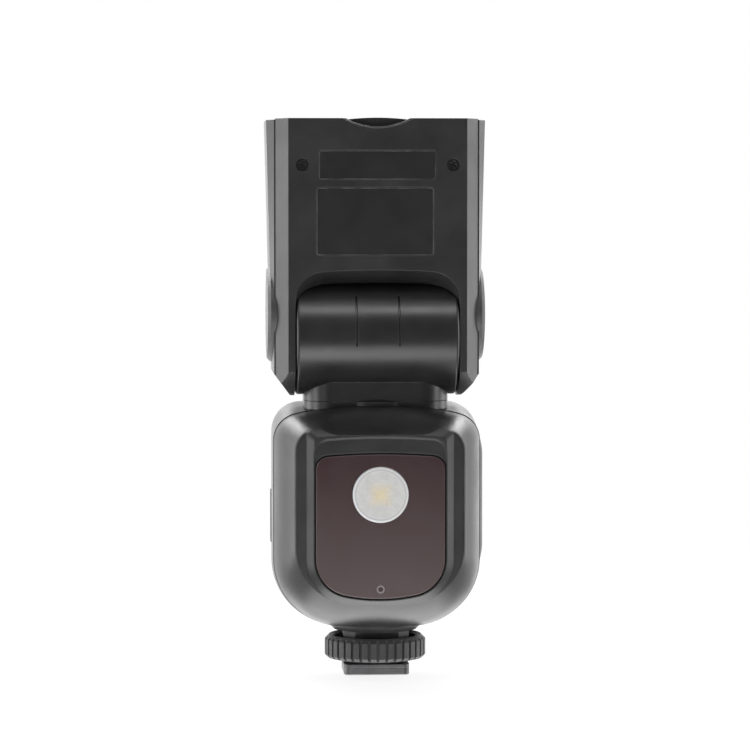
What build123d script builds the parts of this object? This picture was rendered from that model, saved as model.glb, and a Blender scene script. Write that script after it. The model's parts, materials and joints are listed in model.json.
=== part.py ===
from build123d import *
import math
import os

# Speedlight flash, upright with its head pointing straight up. Millimetres.
# +Z is up, the front with the lamp window faces -Y, the operator stands at +Y.
# The origin is the centre of the underside of the accessory-shoe foot.

# ---------------------------------------------------------------- driving sizes
RUN_FIT = 0.08            # radial clearance of shafts and plungers that turn or slide
SEAT = 0.05               # clearance between parts that are placed against each other
GAP = 0.3                 # free gap between moving covers
OVER = 1.0                # how far a cutting tool reaches past the surface it opens
HAIR = 0.01               # lap of faces that would otherwise only just touch

# shoe foot and its lock
FOOT_W = 18.5
FOOT_L = 18.0
FOOT_T = 2.0
FOOT_FRONT_R = 1.6
FOOT_REAR_R = 2.5
FOOT_EDGE = 0.25
NECK_W = 12.0             # narrow waist of the foot, between the rails of a shoe
NECK_L = 14.0
CLAMP_T = 1.0
CLAMP_TRAVEL = 1.8
STEM_R = 5.9
RING_R = 14.4
RING_T = 6.6
RING_LANDS = 36
RING_GROOVE_W = 0.8
RING_GROOVE_D = 0.75
RING_HUB_R = 8.5
RING_HUB_H = 1.1
RING_RECESS_R = 12.0
RING_RECESS_D = 2.4
RING_LOW_EDGE = 0.9
RING_TOP_EDGE = 1.3
RING_LEAD_IN = 0.7
PIN_R = 0.9               # locking pin
PIN_Y = 4.3
PIN_OUT = 1.2
PIN_L = 3.4
PIN_TRAVEL = 1.2
PIN_END_GAP = 0.1
PIN_NOSE = 0.5            # rounding of the tips, as a share of the radius
CONTACT_NOSE = 0.6
CENTRE_CONTACT_R = 1.0
DATA_CONTACT_R = 0.55
CONTACT_OUT = 0.45
CONTACT_L = 2.0
CONTACT_TRAVEL = 0.5
CONTACT_PLACES = ((0.0, 0.0), (-3.0, -1.6), (3.0, -1.6), (-1.9, -4.1), (1.9, -4.1))  # centre first
BLOCK_W = 9.6             # insulating block that carries the contacts
BLOCK_FRONT = -5.4
BLOCK_REAR = 2.6
BLOCK_H = 2.6
PILLAR_W = 18.5
PILLAR_CUT = 3.1
COLLAR_R = 11.9
COLLAR_FLARE = 1.2
NUT_AF = 16.0
NUT_T = 3.0
NUT_RISE = 5.0
STEM_OUT = 0.5
COLLAR_LAP = 0.15

# body
WALL = 2.0
FRONT_Y = -24.3
CREASE_Y = -8.0
BELT_Y = 0.0
REAR_Y = 22.0
BODY_HALF = 29.6
BODY_TOP = 77.2
BODY_BOTTOM = 13.5

# lamp window on the front
PAD_Y = -26.0
WINDOW_HALF = 17.95
WINDOW_TOP = 64.0
WINDOW_BOTTOM = 23.64
WINDOW_CROWN = 0.95
WINDOW_SAG = 3.6          # how far the lower edge bows down between its corners
WINDOW_TOP_R = 3.6
WINDOW_BOTTOM_R = 10.2
WINDOW_T = 1.2
WINDOW_EDGE = 0.2
WINDOW_GAP = 0.3
PAD_RIM = 2.1             # raised frame below the window
PAD_SLOPE_W = 1.7         # width of the frame's sloping outer edge
PAD_SIDE_RIM = 2.65       # raised frame beside the window
PAD_SIDE_SLOPE_W = 2.25
PAD_STRIP = 4.3           # plain recessed strip above the window
STRIP_D = 0.6
POCKET_EDGE = 0.3
POCKET_TOP_EDGE = 0.1
FIN_TOP = 71.4
FIN_R = 1.6
PAD_ROOT = 1.5
BACK_EDGE_R = 1.6
FACE_EDGE_R = 1.1         # rounding between the front face and the slopes around it
SADDLE_R = 30.0           # shallow hollow between the neck and the window
SADDLE_Y = -34.8
SADDLE_Z = 98.05
SADDLE_HALF = 27.0
SADDLE_EDGE_R = 16.0
LED_Z = 52.7
LED_R = 7.85
LED_OUT = 0.25            # how far the lamp stands out of the window
LED_EDGE = 0.6
LED_LENS_BACK = 0.8
LED_BOARD_BACK = 1.6
LED_BOARD_T = 3.4
LED_CHIP = 4.4
LED_CHIP_T = 0.6
LED_BOARD_R = 7.4
EMITTER_Z = 26.35
EMITTER_R = 1.28
EMITTER_DEEP = 3.0

# battery, from the +X side
BAY_WALL = 1.0
BAY_MOUTH = 6.0           # depth of the opening in the body's curved side
BAY_INSET = 0.4
BAY_RIB_W = 4.0
BAY_RIB_H = 12.0
PACK_L = 33.0
PACK_D = 18.4
PACK_H = 33.6
PACK_Y = 4.2
PACK_Z = 48.8
PACK_EDGE = 1.2
PACK_COVER_D = 22.0
PACK_COVER_H = 36.0
PACK_COVER_Z = 49.6
PACK_COVER_X = 30.3
PACK_COVER_T = 2.6
PACK_COVER_R = 3.0
PACK_COVER_RISE = 0.8
PACK_COVER_SLOPE = 2.4
LATCH_D = 6.0
LATCH_H = 4.6
LATCH_Z = 61.5
LATCH_TRAVEL = 1.2
LATCH_R = 1.0
LATCH_SINK = 1.6
LATCH_OUT = 0.3
LATCH_RIB_L = 4.4
LATCH_RIB_D = 0.2

# inside the body
BOARD_T = 1.6
BOARD_Y = -15.0
BOARD_HALF = 20.5
BOARD_BOTTOM = 25.0
BOARD_TOP = 61.0
CAP_R = 9.0
CAP_X = -16.2
CAP_Y = -4.2
CAP_BOTTOM = 28.0
CAP_TOP = 62.0
CAP_EDGE = 0.8
CAP_LEAD_W = 4.0
CAP_LEAD_H = 2.0
CAP_LEAD_Z = 32.0
CAP_LEAD_LAP = 0.3

# rear controls
LCD_HALF = 20.0
LCD_BOTTOM = 46.5
LCD_TOP = 71.0
LCD_WINDOW_T = 1.4
LCD_T = 2.6
LCD_R = 2.0
LCD_LEDGE = 4.0           # width and height lost to the ledge the window rests on
LCD_RECESS = 0.1
GLASS_INSET = 2.5
KEY_BOARD_T = 1.2
KEY_BOARD_DROP = 20.0     # reach of the key board below the keys
BUTTON_W = 8.4
BUTTON_H = 3.8
BUTTON_Z = 41.2
BUTTON_PITCH = 11.0
BUTTON_COUNT = 4
BUTTON_OUT = 0.9
BUTTON_TRAVEL = 0.6
BUTTON_R = 1.2
BUTTON_EDGE = 0.35
BUTTON_STEM_R = 1.2
KEY_SINK = 0.4            # gap between the inside of the housing and the key flanges
KEY_FLANGE_T = 0.6
KEY_FLANGE_W = 0.6
KEY_EDGE = 0.5
KEY_END_GAP = 0.1
DIAL_R = 8.8
DIAL_Z = 28.3
DIAL_OUT = 2.6
DIAL_HUB_R = 5.4
DIAL_NOTCHES = 30
DIAL_NOTCH_R = 0.42
DIAL_EDGE = 0.6
DIAL_SINK = 0.8
DIAL_HUB_L = 1.5
SET_R = 3.6
SET_OUT = 3.2
TEST_X = 17.2
TEST_R = 2.9
TEST_OUT = 0.8
SWITCH_X = -17.2
SWITCH_W = 3.4
SWITCH_L = 5.0
SWITCH_TRAVEL = 3.4
SWITCH_R = 1.0
SWITCH_OUT = 1.2
SWITCH_SLIDER_W = 5.2
SWITCH_SLIDER_L = 7.0
RIB_PITCH = 1.2           # grip ribs of the switch and the latch
RIB_COUNT = 3
RIB_W = 0.42
RIB_D = 0.3

# ports on the -X side
JACK_R = 1.26
JACK_SLEEVE_R = 2.4
JACK_DEPTH = 9.0
JACK_SINK = 0.6
JACK_FLOOR = 1.5
JACK_Y = 9.5
JACK_Z = 60.5
USB_W = 9.0
USB_H = 3.3
USB_DEPTH = 7.0
USB_SINK = 0.2
USB_WALL = 0.35
USB_FLOOR = 1.0
USB_TONGUE_T = 0.7
USB_TONGUE_W = 6.4
USB_TONGUE_SINK = 1.2
USB_Y = 9.5
USB_Z = 44.0
FLAP_D = 7.5
FLAP_H = 15.0
FLAP_T = 1.1
FLAP_R = 1.5

# neck: turntable and hinge barrel
SEAM_Z = 77.8
NECK_HALF = 20.6
NECK_DEPTH = 10.5         # half depth
NECK_CORNER_R = 9.0
TILT_Z = 95.6
BARREL_R = 16.2
BARREL_HALF = 22.8
BARREL_EDGE = 0.8
BUSH_T = 3.0
NECK_WALL = 2.6
SPIGOT_R = 9.0
SPIGOT_BORE = 6.4
FLANGE_T = 1.6
PLINTH_BOTTOM = 73.2
PLINTH_TUBE_R = 12.0
PLINTH_TUBE_BOTTOM = 70.2
RETAINER_T = 1.6
RETAINER_R = 13.0
SHAFT_R = 5.0
SHAFT_BORE = 3.2
SHAFT_HEAD_R = 5.8
SHAFT_HEAD_T = 1.6
BUSH_R = 6.6
SLIT_X = 6.0
SLIT_W = 0.45
SLIT_D = 0.8
SLIT_ABOVE = 12.0         # reach of the slits above and below the barrel's axis
SLIT_BELOW = 2.0

# head
HEAD_TOP = 157.4
HEAD_FRONT = -13.5
HEAD_BACK = 24.5
HEAD_SPLIT = -8.3         # parting plane of the two head shells
FACE_HALF = 25.1
BEVEL_HALF = 28.65
SIDE_TOP_HALF = 31.05
SIDE_LOW_HALF = 29.05
SHELL_STEP = 0.3
SHOULDER_L = 5.0          # length of the shoulder between the parting plane and the sides
HEAD_BACK_R = 6.0
HEAD_WALL = 2.0
EAR_R = 16.5
EAR_CHAMFER_H = 6.8
EAR_CHAMFER_W = 5.0
EAR_MARGIN = 0.2
BARREL_GAP = 0.4
NECK_ROOM = 6.0           # the ears stand free of each other below this distance from the hinge
CHEST_R = 12.0
CHEST_Z = 118.0           # where the back of the head starts to taper
ARCH_TOP = 114.9
ARCH_CROWN = 1.1
ARCH_R = 8.4
ARCH_SLOPE = 1.6
ARCH_INSET = 2.4
ARCH_THROAT = -6.0
ARCH_SIDE = 9.0
HEAD_FLOOR = 116.0
CABLE_R = 4.0             # passage for the cables from the neck
CABLE_Y = 5.0
CAP_DISC_R = 13.65
CAP_DISC_Y = 4.6
CAP_DISC_Z = 102.2
CAP_DISC_X = 30.7
CAP_DISC_T = 2.7
CAP_DISC_EDGE = 0.9
SCOOP_HALF = 9.0
SCOOP_D = 2.3
SCOOP_EDGE = 0.6
HEAD_RIB = 1.0            # side walls of the lower shell, inside its flat face
SHELL_DROP = 0.3          # the upper shell ends this far below the rim

# lens, zoom and panels inside the head
LENS_HALF = 23.0
LENS_FRONT = -8.9
LENS_BACK = 16.4
LENS_T = 2.4
LENS_SINK = 0.6
LENS_LEDGE = 1.5
FRAME_WALL = 2.3
FRAME_H = 7.4
FRAME_CROWN = 0.6
FRAME_CROWN_R = 71.8
FRAME_CROWN_T = 1.6
FRAME_SINK = 0.4
PANEL_W = 48.0
PANEL_END_GAP = 0.9       # between the panels and the head's floor
PANEL_T = 1.1
CARD_T = 0.8
PANEL_GAP = 0.4
PANEL_SINK = 0.5          # the panels stop this far below the rim
PANEL_LIP_H = 0.8
PANEL_LIP_W = 10.0
PANEL_LIP_OUT = 0.3
CARD_LIP_H = 0.6
CARD_LIP_W = 14.0
MOUTH_W = 42.0
MOUTH_D = 21.0
MOUTH_GAP = 1.4
MOUTH_R = 2.0
THROAT_W = 30.24
THROAT_D = 7.56
REFLECTOR_SHARE = 20 / 51 # depth of the reflector, as a share of the room under the lens
REFLECTOR_T = 0.8
TUBE_R = 1.9
TUBE_L = 36.12
TUBE_RISE = 0.6
CARRIAGE_T = 2.0
BOSS_R = 2.6
BOSS_L = 1.5
SCREW_X = 24.2
SCREW_R = 1.5
MOTOR_W = 6.0
MOTOR_D = 8.0
MOTOR_SHARE = 40 / 153    # height of the motor, as a share of the same room
MOTOR_END = 1.0

# labels and screws on the head's underside
LABEL_T = 0.15
LABEL_R = 0.55
NAME_LABEL = (-0.1, 144.3, 33.0, 8.3)
RATING_LABEL = (-0.75, 128.5, 33.1, 19.1)
HEAD_SCREW_X = 21.2
HEAD_SCREW_Z = 144.35
HEAD_SCREW_R = 1.75
HEAD_SCREW_SEAT = 1.6
HEAD_SCREW_SINK = 0.5
HEAD_CROSS_L = 2.2
HEAD_CROSS_W = 0.5
HEAD_CROSS_D = 0.5
HEAD_CROSS_TURN = 20.0
BODY_SCREW_R = 1.6
BODY_SCREW_PLACES = ((21.5, 69.7), (12.5, 19.6))
SCREW_SEAT = 1.2
SCREW_SINK = 0.3
CROSS_L = 2.0
CROSS_W = 0.44
CROSS_D = 0.6

# ---------------------------------------------------------------- worked-out places
CLAMP_Z = FOOT_T + SEAT
HUB_Z = CLAMP_Z + CLAMP_T + SEAT
RING_Z = HUB_Z + RING_HUB_H
RING_TOP = RING_Z + RING_T
PILLAR_Z = RING_TOP - RING_RECESS_D + CLAMP_TRAVEL + GAP
COLLAR_Z = RING_TOP + CLAMP_TRAVEL - COLLAR_LAP
NECK_TOP = CLAMP_Z + CLAMP_T
NUT_Z = BODY_BOTTOM + NUT_RISE
STEM_TOP = NUT_Z + NUT_T + STEM_OUT
EAR_INNER = BARREL_HALF + GAP
SIDES = (-1, 1)


# ---------------------------------------------------------------- helpers
def slab(x0, x1, y0, y1, z0, z1):
    """A box between two corners."""
    return Pos((x0 + x1) / 2, (y0 + y1) / 2, (z0 + z1) / 2) * Box(x1 - x0, y1 - y0, z1 - z0)


def rod_x(radius, x0, x1, y, z):
    return Pos((x0 + x1) / 2, y, z) * Rot(0, 90, 0) * Cylinder(radius, x1 - x0)


def rod_y(radius, y0, y1, x, z):
    return Pos(x, (y0 + y1) / 2, z) * Rot(90, 0, 0) * Cylinder(radius, y1 - y0)


def rod_z(radius, z0, z1, x=0.0, y=0.0):
    return Pos(x, y, (z0 + z1) / 2) * Cylinder(radius, z1 - z0)


def front_plane(y):
    """Drawing plane at depth y, with local x = X and local y = Z."""
    return Plane.XZ.offset(-y)


def plate_xz(outline, y0, y1):
    """Extrude a sketch drawn in (x, z) from depth y0 to the deeper y1."""
    return extrude(front_plane(y1) * outline, amount=y1 - y0)


def rounded_slab_y(x, z, width, height, radius, y0, y1):
    return plate_xz(Pos(x, z) * RectangleRounded(width, height, radius), y0, y1)


def rounded_slab_x(y, z, depth, height, radius, x0, x1):
    face = Plane.YZ.offset(x0) * Pos(y, z) * RectangleRounded(depth, height, radius)
    return extrude(face, amount=x1 - x0)


def save(name, shape):
    shape.label = name
    export_step(shape, f"parts/{name}.step")


# ---------------------------------------------------------------- body outlines
# Each station is (y, narrowing of the half width, drop of the top, crown of the top edge,
# radius of the top corners, rise of the bottom, sag of the bottom edge, radius of the bottom corners).
FRONT_STATIONS = (
    (FRONT_Y, 6.0, 5.6, 1.6, 6.0, 8.3, 3.6, 16.5),
    (-17.0, 2.7, 1.9, 3.6, 7.5, 2.4, 1.4, 18.0),
    (CREASE_Y, 0.4, 0.2, 4.6, 7.6, 0.7, 0.2, 19.0),
)
BELT_STATIONS = (
    (CREASE_Y, 0.3, 0.1, 4.4, 7.8, 0.6, 0.2, 19.0),
    (BELT_Y, 0.0, 0.0, 2.5, 9.0, 0.0, 0.2, 19.0),
)
REAR_STATIONS = (
    (BELT_Y, 0.0, 0.0, 2.5, 9.0, 0.0, 0.2, 19.0),
    (8.0, 0.3, 0.0, 1.2, 7.8, 0.1, 0.2, 18.5),
    (16.0, 1.4, 0.3, 1.0, 8.0, 0.7, 0.2, 17.0),
    (REAR_Y, 3.8, 2.4, 1.0, 7.0, 3.0, 0.2, 14.5),
)


def crowned_outline(half, top, bottom, crown, top_r, sag, bottom_r):
    """Closed outline in (x, z) with bowed top and bottom edges and rounded corners."""
    shoulder, hip = top - crown, bottom + sag
    arch = ThreePointArc((half, shoulder), (0, top), (-half, shoulder))
    left = Line((-half, shoulder), (-half, hip))
    bow = ThreePointArc((-half, hip), (0, bottom), (half, hip))
    right = Line((half, hip), (half, shoulder))
    face = make_face(arch + left + bow + right)
    face = fillet(face.vertices().group_by(Axis.Y)[-1], top_r)
    return fillet(face.vertices().group_by(Axis.Y)[0], bottom_r)


def body_outline(station, inset=0.0):
    """Rounded front outline of the body at one station."""
    y, narrow, drop, crown, top_r, rise, sag, bottom_r = station
    return front_plane(y) * crowned_outline(
        BODY_HALF - narrow - inset, BODY_TOP - drop - inset, BODY_BOTTOM + rise + inset, crown,
        top_r - inset, sag, bottom_r - inset)


def body_loft(stations, inset=0.0, shift_first=0.0, shift_last=0.0):
    """Skin the stations; the first and last can be moved along Y to leave a wall."""
    placed = [list(station) for station in stations]
    placed[0][0] += shift_first
    placed[-1][0] -= shift_last
    return loft([body_outline(station, inset) for station in placed])


def window_outline(offset=0.0, top_extra=0.0):
    """Outline of the lamp window in (x, z), grown by an offset."""
    return crowned_outline(WINDOW_HALF + offset, WINDOW_TOP + offset + top_extra, WINDOW_BOTTOM - offset,
                           WINDOW_CROWN, WINDOW_TOP_R + offset, WINDOW_SAG, WINDOW_BOTTOM_R + offset)


def pad_outline(side_inset=0.0, inset=0.0):
    """Outline of the raised frame around the window; its upper ends stand up as two fins."""
    return crowned_outline(WINDOW_HALF + PAD_SIDE_RIM - side_inset, FIN_TOP - inset,
                           WINDOW_BOTTOM - PAD_RIM + inset, WINDOW_CROWN, FIN_R, WINDOW_SAG,
                           WINDOW_BOTTOM_R + PAD_RIM - inset)


# ---------------------------------------------------------------- foot
def foot_plate_outline():
    face = Rectangle(FOOT_W, FOOT_L)
    face = fillet(face.vertices().group_by(Axis.Y)[0], FOOT_FRONT_R)
    return fillet(face.vertices().group_by(Axis.Y)[-1], FOOT_REAR_R)


def shoe_foot():
    """Metal foot: flange, waist for the shoe rails and the stem of the lock ring."""
    flange = extrude(foot_plate_outline(), amount=FOOT_T)
    flange = chamfer(flange.edges().group_by(Axis.Z)[0], FOOT_EDGE)
    waist = slab(-NECK_W / 2, NECK_W / 2, -NECK_L / 2, NECK_L / 2, FOOT_T, NECK_TOP)
    foot = flange + waist + rod_z(STEM_R, NECK_TOP, STEM_TOP)
    pocket = slab(-BLOCK_W / 2, BLOCK_W / 2, BLOCK_FRONT, BLOCK_REAR, 0, BLOCK_H)
    pin_hole = rod_z(PIN_R + RUN_FIT, 0, PIN_L - PIN_OUT + PIN_TRAVEL + PIN_END_GAP, 0, PIN_Y)
    return foot - pocket - pin_hole


def contact_block():
    block = slab(-BLOCK_W / 2, BLOCK_W / 2, BLOCK_FRONT, BLOCK_REAR, 0.15, BLOCK_H)
    depth = CONTACT_L - CONTACT_OUT + CONTACT_TRAVEL + 0.1
    for index, (x, y) in enumerate(CONTACT_PLACES):
        radius = CENTRE_CONTACT_R if index == 0 else DATA_CONTACT_R
        block -= rod_z(radius + RUN_FIT, 0, depth, x, y)
    return block


def contact_pin(radius, x, y):
    pin = rod_z(radius, -CONTACT_OUT, CONTACT_L - CONTACT_OUT, x, y)
    return fillet(pin.edges().group_by(Axis.Z)[0], CONTACT_NOSE * radius)


def lock_pin():
    pin = rod_z(PIN_R, -PIN_OUT, PIN_L - PIN_OUT, 0, PIN_Y)
    return fillet(pin.edges().group_by(Axis.Z)[0], PIN_NOSE * PIN_R)


def clamp_plate():
    plate = extrude(Pos(0, 0, CLAMP_Z) * foot_plate_outline(), amount=CLAMP_T)
    half_w, half_l = NECK_W / 2 + SEAT, NECK_L / 2 + SEAT
    return plate - slab(-half_w, half_w, -half_l, half_l, CLAMP_Z, HUB_Z)


def lock_ring():
    """Ribbed ring on the stem; its hub bears on the clamp plate."""
    body = rod_z(RING_R, RING_Z, RING_TOP)
    body = chamfer(body.edges().group_by(Axis.Z)[0], RING_LOW_EDGE)
    body = chamfer(body.edges().group_by(Axis.Z)[-1], RING_TOP_EDGE)
    groove = slab(RING_R - RING_GROOVE_D, RING_R + OVER, -RING_GROOVE_W / 2, RING_GROOVE_W / 2,
                  RING_Z - OVER, RING_TOP + OVER)
    grooves = [Rot(0, 0, 360 / RING_LANDS * index) * groove for index in range(RING_LANDS)]
    body = body - grooves + rod_z(RING_HUB_R, HUB_Z, RING_Z)
    recess = rod_z(RING_RECESS_R, RING_TOP - RING_RECESS_D, RING_TOP)
    lead_in = Pos(0, 0, RING_TOP - RING_LEAD_IN / 2) * Cone(
        RING_RECESS_R, RING_RECESS_R + RING_LEAD_IN, RING_LEAD_IN)
    return body - recess - lead_in - rod_z(STEM_R + RUN_FIT, HUB_Z, RING_TOP)


def foot_mount(body_outer):
    """Pillar and collar that carry the foot under the body."""
    pillar_face = Rectangle(PILLAR_W, PILLAR_W)
    pillar_face = chamfer(pillar_face.vertices(), PILLAR_CUT)
    pillar = extrude(Pos(0, 0, PILLAR_Z) * pillar_face, amount=COLLAR_Z - PILLAR_Z)
    cone = Pos(0, 0, COLLAR_Z + COLLAR_FLARE / 2) * Cone(COLLAR_R, COLLAR_R + COLLAR_FLARE, COLLAR_FLARE)
    skirt = rod_z(COLLAR_R + COLLAR_FLARE, COLLAR_Z + COLLAR_FLARE, NUT_Z)
    spigot = rod_z(COLLAR_R - WALL, COLLAR_Z, NUT_Z)
    mount = pillar + ((cone + skirt) - body_outer) + spigot
    return mount - rod_z(STEM_R, PILLAR_Z, NUT_Z)


def foot_nut():
    nut = extrude(Pos(0, 0, NUT_Z) * RegularPolygon(NUT_AF / 2, 6, major_radius=False), amount=NUT_T)
    return nut - rod_z(STEM_R, NUT_Z, NUT_Z + NUT_T)


# ---------------------------------------------------------------- body covers
def saddle(grow=0.0):
    """Shallow rounded hollow between the neck and the lamp window."""
    half = SADDLE_HALF + grow
    tool = rod_x(SADDLE_R + grow, -half, half, SADDLE_Y, SADDLE_Z)
    return fillet(tool.edges().filter_by(GeomType.CIRCLE), SADDLE_EDGE_R)


def window_pad():
    """Raised frame around the window with a sloping outer edge."""
    base = plate_xz(pad_outline(), FRONT_Y, FRONT_Y + PAD_ROOT)
    crest = loft([
        front_plane(PAD_Y) * pad_outline(PAD_SIDE_SLOPE_W, PAD_SLOPE_W),
        front_plane(FRONT_Y) * pad_outline(),
    ])
    return base + crest


def window_pockets():
    """Recess of the window, the shallower strip above it and their lead-in edge."""
    pocket = plate_xz(window_outline(WINDOW_GAP), PAD_Y - OVER, PAD_Y + WINDOW_T)
    strip = plate_xz(window_outline(WINDOW_GAP, PAD_STRIP), PAD_Y - OVER, PAD_Y + STRIP_D)
    mouth = window_outline(WINDOW_GAP + POCKET_EDGE, PAD_STRIP + POCKET_TOP_EDGE - POCKET_EDGE)
    lead_in = loft([
        front_plane(PAD_Y - HAIR) * mouth,
        front_plane(PAD_Y + POCKET_EDGE) * window_outline(WINDOW_GAP, PAD_STRIP),
    ])
    deep = FRONT_Y + WALL + OVER
    lamp_hole = rod_y(LED_R + WINDOW_GAP, PAD_Y, deep, 0, LED_Z)
    emitter_hole = rod_y(EMITTER_R + WINDOW_GAP, PAD_Y, deep, 0, EMITTER_Z)
    return pocket + strip + lead_in + lamp_hole + emitter_hole


def front_cover():
    shell = body_loft(FRONT_STATIONS)
    front_edges = shell.faces().sort_by(Axis.Y)[0].edges()
    shell = fillet(front_edges, FACE_EDGE_R) + window_pad() - saddle()
    cavity = body_loft(FRONT_STATIONS, WALL, WALL, -HAIR) - saddle(WALL)
    return shell - cavity - window_pockets() - foot_hole() - neck_hole()


def foot_hole():
    return rod_z(COLLAR_R - WALL, BODY_BOTTOM - OVER, NUT_Z)


def neck_hole():
    return rod_z(PLINTH_TUBE_R, PLINTH_TUBE_BOTTOM, BODY_TOP + OVER)


def battery_opening(gap):
    """Opening for the battery's cover, with the bay's mouth behind it."""
    outer = rounded_slab_x(PACK_Y, PACK_COVER_Z, PACK_COVER_D + 2 * gap, PACK_COVER_H + 2 * gap, PACK_COVER_R + gap,
                           PACK_COVER_X - PACK_COVER_T - gap, PACK_COVER_X + OVER)
    half_d, half_h = PACK_D / 2 + BAY_WALL, PACK_H / 2 + BAY_WALL
    mouth = slab(BODY_HALF - BAY_MOUTH, BODY_HALF + OVER, PACK_Y - half_d, PACK_Y + half_d,
                 PACK_Z - half_h, PACK_Z + half_h)
    return outer + mouth


def port_cuts():
    """Holes for the sync jack, the data socket and its flap on the -X side."""
    outside, inside = -BODY_HALF - OVER, -BODY_HALF + WALL + 2 * OVER
    jack = rod_x(JACK_SLEEVE_R, outside, inside, JACK_Y, JACK_Z)
    socket = rounded_slab_x(USB_Y, USB_Z, USB_H + 2 * SEAT, USB_W + 2 * SEAT, USB_H / 2, outside, inside)
    flap = rounded_slab_x(USB_Y, USB_Z, FLAP_D + 2 * GAP, FLAP_H + 2 * GAP, FLAP_R + GAP, outside,
                          -BODY_HALF + FLAP_T + SEAT)
    return jack + socket + flap


def mid_frame():
    belt = body_loft(BELT_STATIONS)
    tube = body_loft(BELT_STATIONS, WALL, -HAIR, -HAIR)
    return belt - tube - foot_hole() - neck_hole() - battery_opening(SEAT) - port_cuts()


def rear_cuts():
    """Openings for the display, the keys, the dial and the screws."""
    y0, y1 = REAR_Y - WALL - 2 * OVER, REAR_Y + 2 * OVER
    middle = (LCD_BOTTOM + LCD_TOP) / 2
    height = LCD_TOP - LCD_BOTTOM
    cuts = rounded_slab_y(0, middle, 2 * LCD_HALF, height, LCD_R, REAR_Y - LCD_WINDOW_T, y1)
    cuts += rounded_slab_y(0, middle, 2 * LCD_HALF - LCD_LEDGE, height - LCD_LEDGE, LCD_R / 2, y0, y1)
    for x in button_places():
        cuts += rounded_slab_y(x, BUTTON_Z, BUTTON_W + 2 * GAP, BUTTON_H + 2 * GAP, BUTTON_R + GAP, y0, y1)
    cuts += rod_y(DIAL_HUB_R + RUN_FIT, y0, y1, 0, DIAL_Z)
    cuts += rod_y(DIAL_R + GAP, REAR_Y - DIAL_SINK, y1, 0, DIAL_Z)
    cuts += rod_y(TEST_R + GAP, y0, y1, TEST_X, DIAL_Z)
    slot = SWITCH_L + SWITCH_TRAVEL + 2 * GAP
    cuts += rounded_slab_y(SWITCH_X, DIAL_Z + SWITCH_TRAVEL / 2, SWITCH_W + 2 * GAP, slot, SWITCH_R + GAP, y0, y1)
    for x, z in body_screw_places():
        cuts += rod_y(BODY_SCREW_R + SEAT, REAR_Y - SCREW_SEAT, y1, x, z)
    return cuts


def button_places():
    first = -BUTTON_PITCH * (BUTTON_COUNT - 1) / 2
    return [first + BUTTON_PITCH * index for index in range(BUTTON_COUNT)]


def body_screw_places():
    return [(side * x, z) for x, z in BODY_SCREW_PLACES for side in SIDES]


def rear_housing():
    shell = body_loft(REAR_STATIONS)
    back_edges = shell.faces().sort_by(Axis.Y)[-1].edges()
    shell = fillet(back_edges, BACK_EDGE_R)
    cavity = body_loft(REAR_STATIONS, WALL, -HAIR, WALL)
    shell = shell - cavity - foot_hole() - neck_hole() - battery_opening(SEAT) - port_cuts()
    return shell - rear_cuts()


# ---------------------------------------------------------------- lamp window and lamp
def window_panel():
    panel = plate_xz(window_outline(), PAD_Y, PAD_Y + WINDOW_T - SEAT)
    panel = chamfer(panel.faces().sort_by(Axis.Y)[0].outer_wire().edges(), WINDOW_EDGE)
    lamp = rod_y(LED_R + SEAT, PAD_Y - OVER, FRONT_Y, 0, LED_Z)
    return panel - lamp - rod_y(EMITTER_R + SEAT, PAD_Y - OVER, FRONT_Y, 0, EMITTER_Z)


def led_lens():
    disc = rod_y(LED_R, PAD_Y - LED_OUT, FRONT_Y + LED_LENS_BACK, 0, LED_Z)
    return fillet(disc.faces().sort_by(Axis.Y)[0].edges(), LED_EDGE)


def led_board():
    """Lamp board with its square emitter, on a short heat sink."""
    front = FRONT_Y + LED_BOARD_BACK
    back = front + LED_BOARD_T
    half = LED_CHIP / 2
    plate = rod_y(LED_BOARD_R, front, back, 0, LED_Z)
    emitter = slab(-half, half, front - LED_CHIP_T, front, LED_Z - half, LED_Z + half)
    post = rod_y(LED_BOARD_R / 2, back, BOARD_Y - BOARD_T / 2, 0, LED_Z)
    return plate + emitter + post


def focus_emitter():
    back = FRONT_Y + WALL + EMITTER_DEEP
    head = rod_y(EMITTER_R, PAD_Y, back, 0, EMITTER_Z)
    return head + rod_y(EMITTER_R / 2, back, BOARD_Y - BOARD_T / 2, 0, EMITTER_Z)


# ---------------------------------------------------------------- inside the body
def main_board():
    return slab(-BOARD_HALF, BOARD_HALF, BOARD_Y - BOARD_T / 2, BOARD_Y + BOARD_T / 2, BOARD_BOTTOM, BOARD_TOP)


def capacitor():
    can = rod_z(CAP_R, CAP_BOTTOM, CAP_TOP, CAP_X, CAP_Y)
    can = fillet(can.edges().filter_by(GeomType.CIRCLE), CAP_EDGE)
    lead = slab(CAP_X - CAP_LEAD_W / 2, CAP_X + CAP_LEAD_W / 2, BOARD_Y + BOARD_T / 2, CAP_Y - CAP_R + CAP_LEAD_LAP,
                CAP_LEAD_Z, CAP_LEAD_Z + CAP_LEAD_H)
    return can + lead


def bay_box(grow, x_end):
    half_d, half_h = PACK_D / 2 + grow, PACK_H / 2 + grow
    return slab(PACK_COVER_X - PACK_COVER_T - PACK_L - grow, x_end, PACK_Y - half_d, PACK_Y + half_d,
                PACK_Z - half_h, PACK_Z + half_h)


def battery_bay():
    """Tray that guides the battery, with a rib to the main board."""
    end = BODY_HALF - WALL - BAY_INSET
    tray = bay_box(BAY_WALL, end) - bay_box(RUN_FIT, end + OVER)
    rib = slab(-BAY_RIB_W / 2, BAY_RIB_W / 2, BOARD_Y + BOARD_T / 2, PACK_Y - PACK_D / 2 - BAY_WALL,
               PACK_Z - BAY_RIB_H / 2, PACK_Z + BAY_RIB_H / 2)
    return tray + rib


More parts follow.
